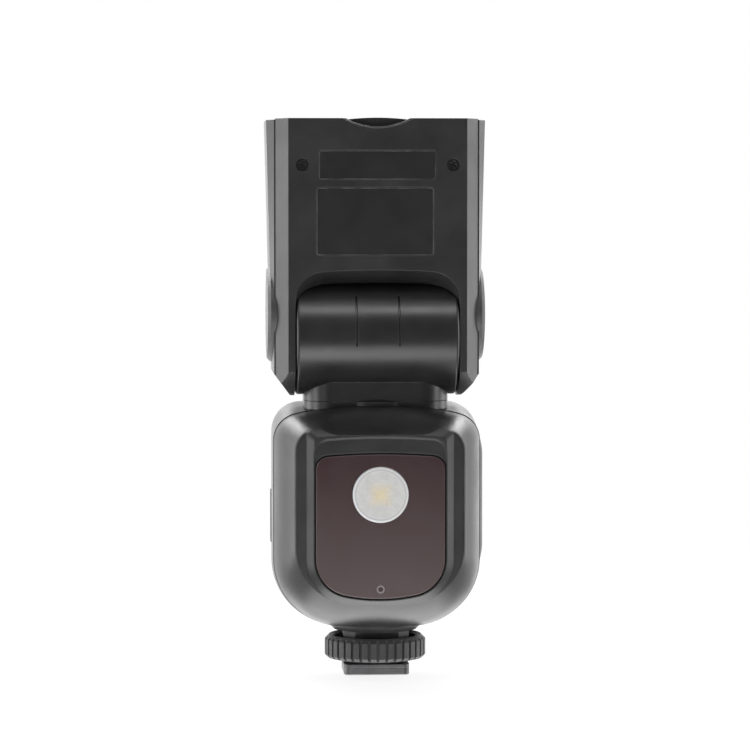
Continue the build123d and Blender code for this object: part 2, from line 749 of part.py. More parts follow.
def battery_case():
    case = bay_box(0, PACK_COVER_X - PACK_COVER_T)
    return fillet(case.edges().filter_by(Axis.X), PACK_EDGE)


def battery_cover():
    """Side cover fixed to the battery, slightly proud of the body's side."""
    base = rounded_slab_x(PACK_Y, PACK_COVER_Z, PACK_COVER_D, PACK_COVER_H, PACK_COVER_R,
                          PACK_COVER_X - PACK_COVER_T, PACK_COVER_X - PACK_COVER_RISE)
    crown = loft([
        cover_outline(PACK_COVER_X - PACK_COVER_RISE, 0.0),
        cover_outline(PACK_COVER_X, PACK_COVER_SLOPE),
    ])
    return base + crown - latch_pocket()


def cover_outline(x, inset):
    return Plane.YZ.offset(x) * Pos(PACK_Y, PACK_COVER_Z) * RectangleRounded(
        PACK_COVER_D - 2 * inset, PACK_COVER_H - 2 * inset, PACK_COVER_R)


def latch_pocket():
    return rounded_slab_x(PACK_Y, LATCH_Z - LATCH_TRAVEL / 2, LATCH_D + 2 * GAP,
                          LATCH_H + LATCH_TRAVEL + 2 * GAP, LATCH_R, PACK_COVER_X - LATCH_SINK, PACK_COVER_X + OVER)


def battery_latch():
    face = PACK_COVER_X + LATCH_OUT
    key = rounded_slab_x(PACK_Y, LATCH_Z, LATCH_D, LATCH_H, LATCH_R, PACK_COVER_X - LATCH_SINK + 2 * SEAT, face)
    for z in rib_places(LATCH_Z):
        key -= slab(face - LATCH_RIB_D, face + OVER, PACK_Y - LATCH_RIB_L / 2, PACK_Y + LATCH_RIB_L / 2,
                    z - RIB_W / 2, z + RIB_W / 2)
    return key


# ---------------------------------------------------------------- rear controls
def rib_places(middle):
    """Heights of the grip ribs around the middle of a key."""
    return [middle + RIB_PITCH * (step - (RIB_COUNT - 1) / 2) for step in range(RIB_COUNT)]


def lcd_window():
    middle = (LCD_BOTTOM + LCD_TOP) / 2
    return rounded_slab_y(0, middle, 2 * (LCD_HALF - SEAT), LCD_TOP - LCD_BOTTOM - 2 * SEAT, LCD_R,
                          REAR_Y - LCD_WINDOW_T, REAR_Y - LCD_RECESS)


def lcd_module():
    """Display glass with its board, just behind the window."""
    back = REAR_Y - WALL - LCD_T
    half = LCD_HALF - GLASS_INSET
    glass = slab(-half, half, back, REAR_Y - LCD_WINDOW_T, LCD_BOTTOM + GLASS_INSET, LCD_TOP - GLASS_INSET)
    board = slab(-half, half, back - KEY_BOARD_T, back, BUTTON_Z - KEY_BOARD_DROP, LCD_TOP - GLASS_INSET)
    return glass + board


def key_back():
    """Where the key stems end, clear of the key board at full travel."""
    return REAR_Y - WALL - LCD_T + BUTTON_TRAVEL + KEY_END_GAP


def key_front():
    """Rear face of the key flanges, just inside the housing."""
    return REAR_Y - WALL - KEY_SINK


def menu_button(x):
    key = rounded_slab_y(x, BUTTON_Z, BUTTON_W, BUTTON_H, BUTTON_R, key_front(), REAR_Y + BUTTON_OUT)
    key = fillet(key.faces().sort_by(Axis.Y)[-1].edges(), BUTTON_EDGE)
    stem = rod_y(BUTTON_STEM_R, key_back(), key_front(), x, BUTTON_Z)
    flange = rounded_slab_y(x, BUTTON_Z, BUTTON_W + 2 * KEY_FLANGE_W, BUTTON_H + 2 * KEY_FLANGE_W, BUTTON_R,
                            key_front() - KEY_FLANGE_T, key_front())
    return key + stem + flange


def control_dial():
    dial = rod_y(DIAL_R, REAR_Y - DIAL_SINK + SEAT, REAR_Y + DIAL_OUT, 0, DIAL_Z)
    dial = fillet(dial.faces().sort_by(Axis.Y)[-1].edges(), DIAL_EDGE)
    notch = rod_y(DIAL_NOTCH_R, REAR_Y - OVER, REAR_Y + DIAL_OUT + OVER, DIAL_R, 0)
    notches = [Pos(0, 0, DIAL_Z) * Rot(0, 360 / DIAL_NOTCHES * index, 0) * notch for index in range(DIAL_NOTCHES)]
    hub_back = REAR_Y - WALL - DIAL_HUB_L
    hub = rod_y(DIAL_HUB_R, hub_back, REAR_Y, 0, DIAL_Z)
    bore = rod_y(SET_R + GAP / 2, hub_back - OVER, REAR_Y + DIAL_OUT + OVER, 0, DIAL_Z)
    return dial - notches + hub - bore


def round_key(radius, x, out):
    key = rod_y(radius, key_front(), REAR_Y + out, x, DIAL_Z)
    key = fillet(key.faces().sort_by(Axis.Y)[-1].edges(), KEY_EDGE)
    return key + rod_y(radius / 2, key_back(), key_front(), x, DIAL_Z)


def power_switch():
    face = REAR_Y + SWITCH_OUT
    knob = rounded_slab_y(SWITCH_X, DIAL_Z, SWITCH_W, SWITCH_L, SWITCH_R, key_front(), face)
    for z in rib_places(DIAL_Z):
        knob -= slab(SWITCH_X - SWITCH_W, SWITCH_X + SWITCH_W, face - RIB_D, face + OVER, z - RIB_W / 2, z + RIB_W / 2)
    half_w, half_l = SWITCH_SLIDER_W / 2, SWITCH_SLIDER_L / 2
    back = REAR_Y - WALL - LCD_T + 2 * KEY_END_GAP
    return knob + slab(SWITCH_X - half_w, SWITCH_X + half_w, back, key_front(), DIAL_Z - half_l, DIAL_Z + half_l)


def body_screw(x, z):
    top = REAR_Y - SCREW_SINK
    screw = rod_y(BODY_SCREW_R, REAR_Y - SCREW_SEAT, top, x, z)
    cross = slab(-CROSS_L / 2, CROSS_L / 2, top - CROSS_D, top + OVER, -CROSS_W / 2, CROSS_W / 2)
    for turn in (0, 90):
        screw -= Pos(x, 0, z) * Rot(0, turn, 0) * cross
    return screw


# ---------------------------------------------------------------- ports
def sync_jack():
    """Brass sleeve of the sync socket."""
    mouth = -BODY_HALF + JACK_SINK
    sleeve = rod_x(JACK_SLEEVE_R - SEAT, mouth, mouth + JACK_DEPTH, JACK_Y, JACK_Z)
    return sleeve - rod_x(JACK_R, mouth - OVER, mouth + JACK_DEPTH - JACK_FLOOR, JACK_Y, JACK_Z)


def usb_socket():
    outer = -BODY_HALF + FLAP_T + USB_SINK
    back = outer + USB_DEPTH
    shell = rounded_slab_x(USB_Y, USB_Z, USB_H, USB_W, USB_H / 2 - HAIR, outer, back)
    well = rounded_slab_x(USB_Y, USB_Z, USB_H - 2 * USB_WALL, USB_W - 2 * USB_WALL, USB_H / 2 - USB_WALL - HAIR,
                          outer - OVER, back - USB_FLOOR)
    half_t, half_w = USB_TONGUE_T / 2, USB_TONGUE_W / 2
    tongue = slab(outer + USB_TONGUE_SINK, back, USB_Y - half_t, USB_Y + half_t, USB_Z - half_w, USB_Z + half_w)
    return shell - well + tongue


def port_flap():
    return rounded_slab_x(USB_Y, USB_Z, FLAP_D, FLAP_H, FLAP_R, -BODY_HALF + SEAT, -BODY_HALF + FLAP_T)


# ---------------------------------------------------------------- neck
def neck_outline(inset=0.0):
    """Plan of the neck: a rounded rectangle with very round ends."""
    return RectangleRounded(2 * (NECK_HALF - inset), 2 * (NECK_DEPTH - inset), NECK_CORNER_R - inset)


def neck_plinth(body_outer):
    """Fixed half of the turntable, seated in the body's top."""
    plate = extrude(Pos(0, 0, PLINTH_BOTTOM) * neck_outline(), amount=SEAM_Z - PLINTH_BOTTOM - SEAT)
    plate -= body_outer
    tube = rod_z(PLINTH_TUBE_R, PLINTH_TUBE_BOTTOM, SEAM_Z - SEAT)
    return plate + tube - rod_z(SPIGOT_R + RUN_FIT, PLINTH_TUBE_BOTTOM, SEAM_Z)


def neck_body():
    """Whole outer form of the neck with its hinge barrel, hollow inside."""
    post = extrude(Pos(0, 0, SEAM_Z) * neck_outline(), amount=TILT_Z - SEAM_Z)
    barrel = rod_x(BARREL_R, -BARREL_HALF, BARREL_HALF, 0, TILT_Z)
    barrel = fillet(barrel.edges().filter_by(GeomType.CIRCLE), BARREL_EDGE)
    floor = SEAM_Z + NECK_WALL
    inner_post = extrude(Pos(0, 0, floor) * neck_outline(NECK_WALL), amount=TILT_Z - floor)
    inner_half = BARREL_HALF - BUSH_T
    inner_barrel = rod_x(BARREL_R - NECK_WALL, -inner_half, inner_half, 0, TILT_Z)
    neck = post + barrel - inner_post - inner_barrel
    neck -= rod_z(SPIGOT_R, SEAM_Z - OVER, floor)
    neck -= rod_x(BUSH_R, -BARREL_HALF - OVER, BARREL_HALF + OVER, 0, TILT_Z)
    for side in SIDES:
        x = side * SLIT_X
        ring = rod_x(BARREL_R + OVER, x - SLIT_W / 2, x + SLIT_W / 2, 0, TILT_Z)
        ring -= rod_x(BARREL_R - SLIT_D, x - OVER, x + OVER, 0, TILT_Z)
        neck -= ring & slab(x - OVER, x + OVER, -BARREL_R - OVER, 0, TILT_Z - SLIT_BELOW, TILT_Z + SLIT_ABOVE)
    return neck


def neck_half(neck, direction):
    depth = BARREL_R + OVER
    y0, y1 = (-depth, 0) if direction < 0 else (0, depth)
    half = BARREL_HALF + OVER
    return neck & slab(-half, half, y0, y1, SEAM_Z - OVER, TILT_Z + BARREL_R + OVER)


def swivel_spigot():
    """Hollow turntable spindle, clamped inside the neck."""
    tube = rod_z(SPIGOT_R, PLINTH_TUBE_BOTTOM - RETAINER_T - GAP / 2, SEAM_Z + NECK_WALL)
    flange = extrude(Pos(0, 0, SEAM_Z + NECK_WALL) * neck_outline(NECK_WALL + GAP), amount=FLANGE_T)
    top = SEAM_Z + NECK_WALL + FLANGE_T
    return tube + flange - rod_z(SPIGOT_BORE, PLINTH_TUBE_BOTTOM - RETAINER_T - OVER, top + OVER)


def swivel_retainer():
    z1 = PLINTH_TUBE_BOTTOM - GAP / 2
    return rod_z(RETAINER_R, z1 - RETAINER_T, z1) - rod_z(SPIGOT_R, z1 - RETAINER_T, z1)


def tilt_bush(side):
    x0, x1 = sorted((side * (BARREL_HALF - BUSH_T), side * BARREL_HALF))
    ring = rod_x(BUSH_R, x0, x1, 0, TILT_Z)
    return ring - rod_x(SHAFT_R + RUN_FIT, x0 - OVER, x1 + OVER, 0, TILT_Z)


# ---------------------------------------------------------------- head
def head_side_profile():
    """Side view of the head in (y, z): flat front, deep chest, round ears."""
    edges = Polyline(
        (HEAD_FRONT, HEAD_TOP), (HEAD_BACK, HEAD_TOP), (HEAD_BACK, CHEST_Z),
        (EAR_R, TILT_Z), (HEAD_FRONT, TILT_Z), (HEAD_FRONT, HEAD_TOP))
    profile = make_face(edges)
    profile = fillet(profile.vertices().sort_by_distance((HEAD_BACK, CHEST_Z)).first, CHEST_R)
    ear = Pos(0, TILT_Z) * Circle(EAR_R)
    keep = Pos((HEAD_FRONT + HEAD_BACK) / 2, TILT_Z) * Rectangle(HEAD_BACK - HEAD_FRONT, 4 * EAR_R)
    return profile + (ear & keep)


def head_envelope():
    """Solid that bounds both shells in side view and front view."""
    half = SIDE_TOP_HALF + OVER
    side = extrude(Plane.YZ.offset(-half) * head_side_profile(), amount=2 * half)
    low = TILT_Z - EAR_R
    shoulder = low + EAR_CHAMFER_H
    ear = SIDE_LOW_HALF + EAR_MARGIN
    foot = ear - EAR_CHAMFER_W
    front = Polyline(
        (-half, HEAD_TOP), (-half, shoulder), (-ear, shoulder), (-foot, low),
        (foot, low), (ear, shoulder), (half, shoulder), (half, HEAD_TOP), close=True)
    return side & plate_xz(make_face(front), HEAD_FRONT - OVER, HEAD_BACK + OVER)


def shoulder_plan(z, half):
    """Plan outline of the upper shell at height z."""
    start = BEVEL_HALF + SHELL_STEP
    shoulder = HEAD_SPLIT + SHOULDER_L
    points = Polyline(
        (-start, HEAD_SPLIT), (start, HEAD_SPLIT), (half, shoulder), (half, HEAD_BACK),
        (-half, HEAD_BACK), (-half, shoulder), close=True)
    face = make_face(points)
    face = fillet(face.vertices().group_by(Axis.Y)[-1], HEAD_BACK_R)
    return Pos(0, 0, z) * face


def barrel_space():
    """Room for the hinge barrel and the neck below it."""
    space = rod_x(BARREL_R + BARREL_GAP, -EAR_INNER, EAR_INNER, 0, TILT_Z)
    below = slab(-EAR_INNER, EAR_INNER, HEAD_FRONT - OVER, HEAD_BACK, TILT_Z - EAR_R - OVER, TILT_Z - NECK_ROOM)
    return space + below


def arch_outline(inset):
    half = EAR_INNER - inset
    top = ARCH_TOP - inset * ARCH_SLOPE
    side = top - ARCH_CROWN
    face = make_face(
        ThreePointArc((-half, side), (0, top), (half, side))
        + Polyline((half, side), (half, TILT_Z), (-half, TILT_Z), (-half, side)))
    return fillet(face.vertices().group_by(Axis.Y)[-1], ARCH_R)


def arch_cut():
    """Arched opening over the barrel; its wall slopes in towards the barrel."""
    mouth = front_plane(HEAD_FRONT - HAIR) * arch_outline(0.0)
    throat = front_plane(ARCH_THROAT) * arch_outline(ARCH_INSET)
    sides = slab(-EAR_INNER, EAR_INNER, HEAD_FRONT - OVER, 0, TILT_Z - EAR_R - OVER, TILT_Z + ARCH_SIDE)
    return loft([mouth, throat]) + sides


def hinge_bores():
    bores = rod_x(SHAFT_R, -SIDE_TOP_HALF, SIDE_TOP_HALF, 0, TILT_Z)
    for side in SIDES:
        x0, x1 = sorted((side * (CAP_DISC_X - CAP_DISC_T - SHAFT_HEAD_T), side * SIDE_TOP_HALF))
        bores += rod_x(SHAFT_HEAD_R, x0, x1, 0, TILT_Z)
    return bores


def cap_recess(side):
    x0, x1 = sorted((side * (CAP_DISC_X - CAP_DISC_T), side * (CAP_DISC_X + OVER)))
    return rod_x(CAP_DISC_R + SEAT, x0, x1, CAP_DISC_Y, CAP_DISC_Z)


def head_mouth():
    """Opening in the top for the lens frame and the two pull-out panels."""
    return slab(-frame_half(), frame_half(), LENS_FRONT - FRAME_WALL, panel_back(), HEAD_TOP - FRAME_H - OVER,
                HEAD_TOP + OVER)


def frame_half():
    return LENS_HALF + FRAME_WALL


def panel_length():
    return HEAD_TOP - PANEL_SINK - floor_z() - PANEL_END_GAP


def panel_front():
    return LENS_BACK + FRAME_WALL + PANEL_GAP


def card_front():
    return panel_front() + PANEL_T + PANEL_GAP


def panel_back():
    return card_front() + CARD_T + PANEL_GAP


def floor_z():
    """Inner floor of the head, on which the zoom motor stands."""
    return HEAD_FLOOR + HEAD_WALL


def scoop_radius():
    """Radius of the finger scoop at the rim."""
    return (SCOOP_HALF ** 2 + SCOOP_D ** 2) / (2 * SCOOP_D)


def head_lower_shell(envelope):
    """Underside shell: flat face with a bevel on each side."""
    plan = make_face(Polyline(
        (-FACE_HALF, HEAD_FRONT), (FACE_HALF, HEAD_FRONT), (BEVEL_HALF, HEAD_SPLIT),
        (-BEVEL_HALF, HEAD_SPLIT), close=True))
    low = TILT_Z - EAR_R - OVER
    shell = extrude(Pos(0, 0, low) * plan, amount=HEAD_TOP - low) & envelope
    inner = LENS_FRONT - FRAME_WALL
    half = FACE_HALF - HEAD_RIB
    cavity = slab(-half, half, inner, HEAD_SPLIT + OVER, floor_z(), HEAD_TOP - FRAME_H)
    radius = scoop_radius()
    middle = HEAD_TOP - SCOOP_D + radius
    scoop = rod_y(radius, HEAD_FRONT - OVER, inner, 0, middle)
    rim = Pos(0, HEAD_FRONT + SCOOP_EDGE / 2 - SEAT, middle) * Rot(-90, 0, 0) * Cone(
        radius + SCOOP_EDGE, radius, SCOOP_EDGE)
    shell = shell - cavity - head_mouth() - scoop - rim - barrel_space() - arch_cut()
    for x, z, width, height in (NAME_LABEL, RATING_LABEL):
        shell -= rounded_slab_y(x, z, width + 2 * SEAT, height + 2 * SEAT, LABEL_R + SEAT, HEAD_FRONT - OVER,
                                HEAD_FRONT + LABEL_T)
    for side in SIDES:
        shell -= cap_recess(side)
        shell -= rod_y(HEAD_SCREW_R + SEAT, HEAD_FRONT - OVER, HEAD_FRONT + HEAD_SCREW_SEAT, side * HEAD_SCREW_X,
                       HEAD_SCREW_Z)
    return shell


def head_upper_shell(envelope):
    low = TILT_Z - EAR_R - OVER
    top = HEAD_TOP - SHELL_DROP
    shell = loft([shoulder_plan(low, SIDE_LOW_HALF), shoulder_plan(top, SIDE_TOP_HALF)]) & envelope
    half = SIDE_LOW_HALF - HEAD_WALL
    room = slab(-half, half, HEAD_SPLIT - OVER, HEAD_BACK - HEAD_WALL - PANEL_GAP, floor_z(), HEAD_TOP - FRAME_H)
    shell = shell - room - head_mouth() - barrel_space() - arch_cut() - hinge_bores()
    shell -= rod_z(CABLE_R, TILT_Z, floor_z() + OVER, 0, CABLE_Y)
    radius = scoop_radius()
    shell -= rod_y(radius, panel_back() - SEAT, HEAD_BACK + OVER, 0, top - SCOOP_D + radius)
    for side in SIDES:
        shell -= cap_recess(side)
    return shell


def hinge_cap(side):
    """Round cover over the hinge on each side of the head."""
    x0, x1 = sorted((side * (CAP_DISC_X - CAP_DISC_T), side * CAP_DISC_X))
    disc = rod_x(CAP_DISC_R, x0, x1, CAP_DISC_Y, CAP_DISC_Z)
    outer = disc.faces().sort_by(Axis.X)[-1 if side > 0 else 0]
    return chamfer(outer.edges(), CAP_DISC_EDGE)


def tilt_shaft(side):
    head_end = CAP_DISC_X - CAP_DISC_T - SEAT
    x0, x1 = sorted((side * (BARREL_HALF - BUSH_T - OVER), side * head_end))
    h0, h1 = sorted((side * (head_end - SHAFT_HEAD_T + SEAT), side * head_end))
    shaft = rod_x(SHAFT_R, x0, x1, 0, TILT_Z) + rod_x(SHAFT_HEAD_R - SEAT, h0, h1, 0, TILT_Z)
    return shaft - rod_x(SHAFT_BORE, x0 - OVER, x1 + OVER, 0, TILT_Z)


def lens_frame():
    """Frame in the head's mouth that holds the lens and guides the panels."""
    half = frame_half() - SEAT
    front, back = LENS_FRONT - FRAME_WALL + SEAT, LENS_BACK + FRAME_WALL
    z0 = HEAD_TOP - FRAME_H
    top = HEAD_TOP - FRAME_SINK
    frame = slab(-half, half, front, back, z0, top)
    crown = rod_y(FRAME_CROWN_R, front, front + FRAME_CROWN_T, 0, top + FRAME_CROWN - FRAME_CROWN_R)
    frame += crown & slab(-half, half, front, front + FRAME_CROWN_T, top - OVER, top + 2 * OVER)
    frame -= slab(-LENS_HALF, LENS_HALF, LENS_FRONT, LENS_BACK, lens_bottom(), HEAD_TOP + OVER)
    half, front, back = LENS_HALF - LENS_LEDGE, LENS_FRONT + LENS_LEDGE, LENS_BACK - LENS_LEDGE
    return frame - slab(-half, half, front, back, z0 - OVER, HEAD_TOP)


def lens_bottom():
    return HEAD_TOP - LENS_SINK - LENS_T


def fresnel_lens():
    z0 = lens_bottom()
    return slab(-LENS_HALF + SEAT, LENS_HALF - SEAT, LENS_FRONT + SEAT, LENS_BACK - SEAT, z0, z0 + LENS_T)


def wide_panel():
    top = HEAD_TOP - PANEL_SINK
    panel = slab(-PANEL_W / 2, PANEL_W / 2, panel_front(), panel_front() + PANEL_T, top - panel_length(), top)
    lip = slab(-PANEL_LIP_W / 2, PANEL_LIP_W / 2, panel_front() - PANEL_LIP_OUT, panel_front() + PANEL_T, top,
               top + PANEL_LIP_H)
    return panel + lip


def bounce_card():
    top = HEAD_TOP - PANEL_SINK
    card = slab(-PANEL_W / 2, PANEL_W / 2, card_front(), card_front() + CARD_T, top - panel_length(), top)
    half = CARD_LIP_W / 2
    return card + slab(-half, half, card_front(), card_front() + CARD_T, top, top + CARD_LIP_H)


def reflector():
    """Flared reflector of the flash tube."""
    z1 = mouth_z()
    z0 = z1 - reflector_depth()

    def section(z, grow):
        share = (z - z0) / (z1 - z0)
        width = THROAT_W + (MOUTH_W - THROAT_W) * share + 2 * grow
        depth = THROAT_D + (MOUTH_D - THROAT_D) * share + 2 * grow
        return Pos(0, lens_mid(), z) * RectangleRounded(width, depth, MOUTH_R)

    outer = loft([section(z0, 0), section(z1, 0)])
    inner = loft([section(z0 + REFLECTOR_T, -REFLECTOR_T), section(z1 + HAIR, -REFLECTOR_T)])
    return outer - inner - tube_rod(TUBE_R + SEAT, MOUTH_W)


def lens_mid():
    return (LENS_FRONT + LENS_BACK) / 2


def mouth_z():
    return HEAD_TOP - FRAME_H - MOUTH_GAP


def zoom_room():
    """Height between the head's floor and the mouth of the reflector."""
    return mouth_z() - floor_z()


def reflector_depth():
    return zoom_room() * REFLECTOR_SHARE


def tube_rod(radius, length):
    z = mouth_z() - reflector_depth() + REFLECTOR_T + TUBE_R + TUBE_RISE
    return rod_x(radius, -length / 2, length / 2, lens_mid(), z)


def flash_tube():
    return tube_rod(TUBE_R, TUBE_L)


def carriage_z():
    return mouth_z() - reflector_depth() - CARRIAGE_T


def zoom_carriage():
    z0 = carriage_z()
    z1 = z0 + CARRIAGE_T
    half_w, half_d = SCREW_X + BOSS_R, MOUTH_D / 2
    plate = slab(-half_w, half_w, lens_mid() - half_d, lens_mid() + half_d, z0, z1)
    for side in SIDES:
        plate += rod_z(BOSS_R, z0 - BOSS_L, z1, side * SCREW_X, lens_mid())
        plate -= rod_z(SCREW_R + RUN_FIT, z0 - BOSS_L - OVER, z1 + OVER, side * SCREW_X, lens_mid())
    return plate


def zoom_motor():
    """Stepper motor on the head's floor, under the lead screw."""
    half = MOTOR_W / 2
    half_d = MOTOR_D / 2
    top = floor_z() + zoom_room() * MOTOR_SHARE
    motor = slab(SCREW_X - half, SCREW_X + half - GAP, lens_mid() - half_d, lens_mid() + half_d, floor_z(), top)
    return motor - rod_z(SCREW_R + RUN_FIT, floor_z() + MOTOR_END, top + OVER, SCREW_X, lens_mid())


def lead_screw():
    return rod_z(SCREW_R, floor_z() + MOTOR_END + SEAT, HEAD_TOP - FRAME_H - SEAT, SCREW_X, lens_mid())


def guide_rod():
    return rod_z(SCREW_R, floor_z(), HEAD_TOP - FRAME_H, -SCREW_X, lens_mid())


def label(place):
    x, z, width, height = place
    return rounded_slab_y(x, z, width, height, LABEL_R, HEAD_FRONT, HEAD_FRONT + LABEL_T)


def head_screw(side):
    x = side * HEAD_SCREW_X
    top = HEAD_FRONT + HEAD_SCREW_SINK
    screw = rod_y(HEAD_SCREW_R, top, HEAD_FRONT + HEAD_SCREW_SEAT, x, HEAD_SCREW_Z)
    cross = slab(-HEAD_CROSS_L / 2, HEAD_CROSS_L / 2, top - OVER, top + HEAD_CROSS_D, -HEAD_CROSS_W / 2,
                 HEAD_CROSS_W / 2)
    for turn in (0, 90):
        screw -= Pos(x, 0, HEAD_SCREW_Z) * Rot(0, turn + HEAD_CROSS_TURN, 0) * cross
    return screw


# ---------------------------------------------------------------- build and write
def build():
    body_outer = body_loft(FRONT_STATIONS) + body_loft(BELT_STATIONS) + body_loft(REAR_STATIONS)
    neck = neck_body()
    envelope = head_envelope()
    parts = {
        "shoe_foot": shoe_foot(),
        "contact_block": contact_block(),
        "centre_contact": contact_pin(CENTRE_CONTACT_R, *CONTACT_PLACES[0]),
        "data_contacts": Compound([contact_pin(DATA_CONTACT_R, x, y) for x, y in CONTACT_PLACES[1:]]),
        "lock_pin": lock_pin(),
        "clamp_plate": clamp_plate(),
        "lock_ring": lock_ring(),
        "foot_mount": foot_mount(body_outer),
        "foot_nut": foot_nut(),
        "front_cover": front_cover(),
        "mid_frame": mid_frame(),
        "rear_housing": rear_housing(),
        "window_panel": window_panel(),
        "led_lens": led_lens(),
        "led_board": led_board(),
        "focus_emitter": focus_emitter(),
        "main_board": main_board(),
        "capacitor": capacitor(),
        "battery_bay": battery_bay(),
        "battery_case": battery_case(),
        "battery_cover": battery_cover(),
        "battery_latch": battery_latch(),
        "lcd_window": lcd_window(),
        "lcd_module": lcd_module(),
        "control_dial": control_dial(),
        "set_button": round_key(SET_R, 0, SET_OUT),
        "test_button": round_key(TEST_R, TEST_X, TEST_OUT),
        "power_switch": power_switch(),
        "body_screws": Compound([body_screw(x, z) for x, z in body_screw_places()]),
        "sync_jack": sync_jack(),
        "usb_socket": usb_socket(),
        "port_flap": port_flap(),
        "neck_plinth": neck_plinth(body_outer),
        "neck_front": neck_half(neck, -1),
        "neck_rear": neck_half(neck, 1),
        "swivel_spigot": swivel_spigot(),
        "swivel_retainer": swivel_retainer(),
        "tilt_bushes": Compound([tilt_bush(side) for side in SIDES]),
        "tilt_shafts": Compound([tilt_shaft(side) for side in SIDES]),
        "head_lower_shell": head_lower_shell(envelope),
        "head_upper_shell": head_upper_shell(envelope),
        "hinge_cap_left": hinge_cap(1),
        "hinge_cap_right": hinge_cap(-1),
        "lens_frame": lens_frame(),
        "fresnel_lens": fresnel_lens(),
        "wide_panel": wide_panel(),
        "bounce_card": bounce_card(),
        "reflector": reflector(),
        "flash_tube": flash_tube(),
        "zoom_carriage": zoom_carriage(),
        "zoom_motor": zoom_motor(),
        "lead_screw": lead_screw(),
        "guide_rod": guide_rod(),
        "name_label": label(NAME_LABEL),
        "rating_label": label(RATING_LABEL),
        "head_screws": Compound([head_screw(side) for side in SIDES]),
    }
    for index, x in enumerate(button_places(), start=1):
        parts[f"menu_button_{index}"] = menu_button(x)
    return parts


os.makedirs("parts", exist_ok=True)
for node, shape in build().items():
    save(node, shape)
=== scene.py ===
import json
import math

import bpy
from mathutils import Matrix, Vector


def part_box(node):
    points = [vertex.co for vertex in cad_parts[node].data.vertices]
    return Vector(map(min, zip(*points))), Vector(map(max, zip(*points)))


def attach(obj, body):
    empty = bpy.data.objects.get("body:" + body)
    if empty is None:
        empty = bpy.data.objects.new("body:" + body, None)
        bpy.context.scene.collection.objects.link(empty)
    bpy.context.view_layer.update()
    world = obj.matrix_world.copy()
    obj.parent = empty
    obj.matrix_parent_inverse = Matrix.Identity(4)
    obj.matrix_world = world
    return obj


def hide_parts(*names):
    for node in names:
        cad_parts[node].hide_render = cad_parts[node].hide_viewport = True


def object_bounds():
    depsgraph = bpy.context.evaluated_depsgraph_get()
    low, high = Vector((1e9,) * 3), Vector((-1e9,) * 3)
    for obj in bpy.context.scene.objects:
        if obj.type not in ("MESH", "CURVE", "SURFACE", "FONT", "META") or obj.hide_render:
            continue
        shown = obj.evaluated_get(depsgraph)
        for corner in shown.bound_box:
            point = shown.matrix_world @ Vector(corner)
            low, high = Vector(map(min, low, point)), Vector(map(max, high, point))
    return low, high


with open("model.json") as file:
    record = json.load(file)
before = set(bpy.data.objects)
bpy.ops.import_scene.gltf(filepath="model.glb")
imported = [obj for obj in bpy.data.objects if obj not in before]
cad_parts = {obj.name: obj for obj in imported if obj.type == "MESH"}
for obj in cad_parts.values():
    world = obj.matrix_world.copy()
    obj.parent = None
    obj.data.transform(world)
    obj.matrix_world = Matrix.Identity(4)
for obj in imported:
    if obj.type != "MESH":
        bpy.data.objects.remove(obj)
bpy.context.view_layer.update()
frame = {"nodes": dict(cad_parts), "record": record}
record = frame["record"]
slot_of = {entry["node"]: entry["material_slot"] for entry in record["subparts"]}


# ---------------------------------------------------------------- material tools
BEVEL_SAMPLES = 6
EDGE_STARTS = 0.985                  # cosine between the true and the rounded normal where an edge starts
EDGE_FULL = EDGE_STARTS - 1.0 / 6.0  # and where it is fully one
EDGE_REACH = 1.6                     # width of the rubbed edge, as a share of the edge's rounding
NOISE_LOW, NOISE_HIGH = 0.3, 0.7     # the part of a noise's range that is used
FAINT, FINE = 0.00002, 0.00003       # bump heights, metres
SMALL_EDGE = 0.0002                  # edge rounding of small and polished pieces, metres


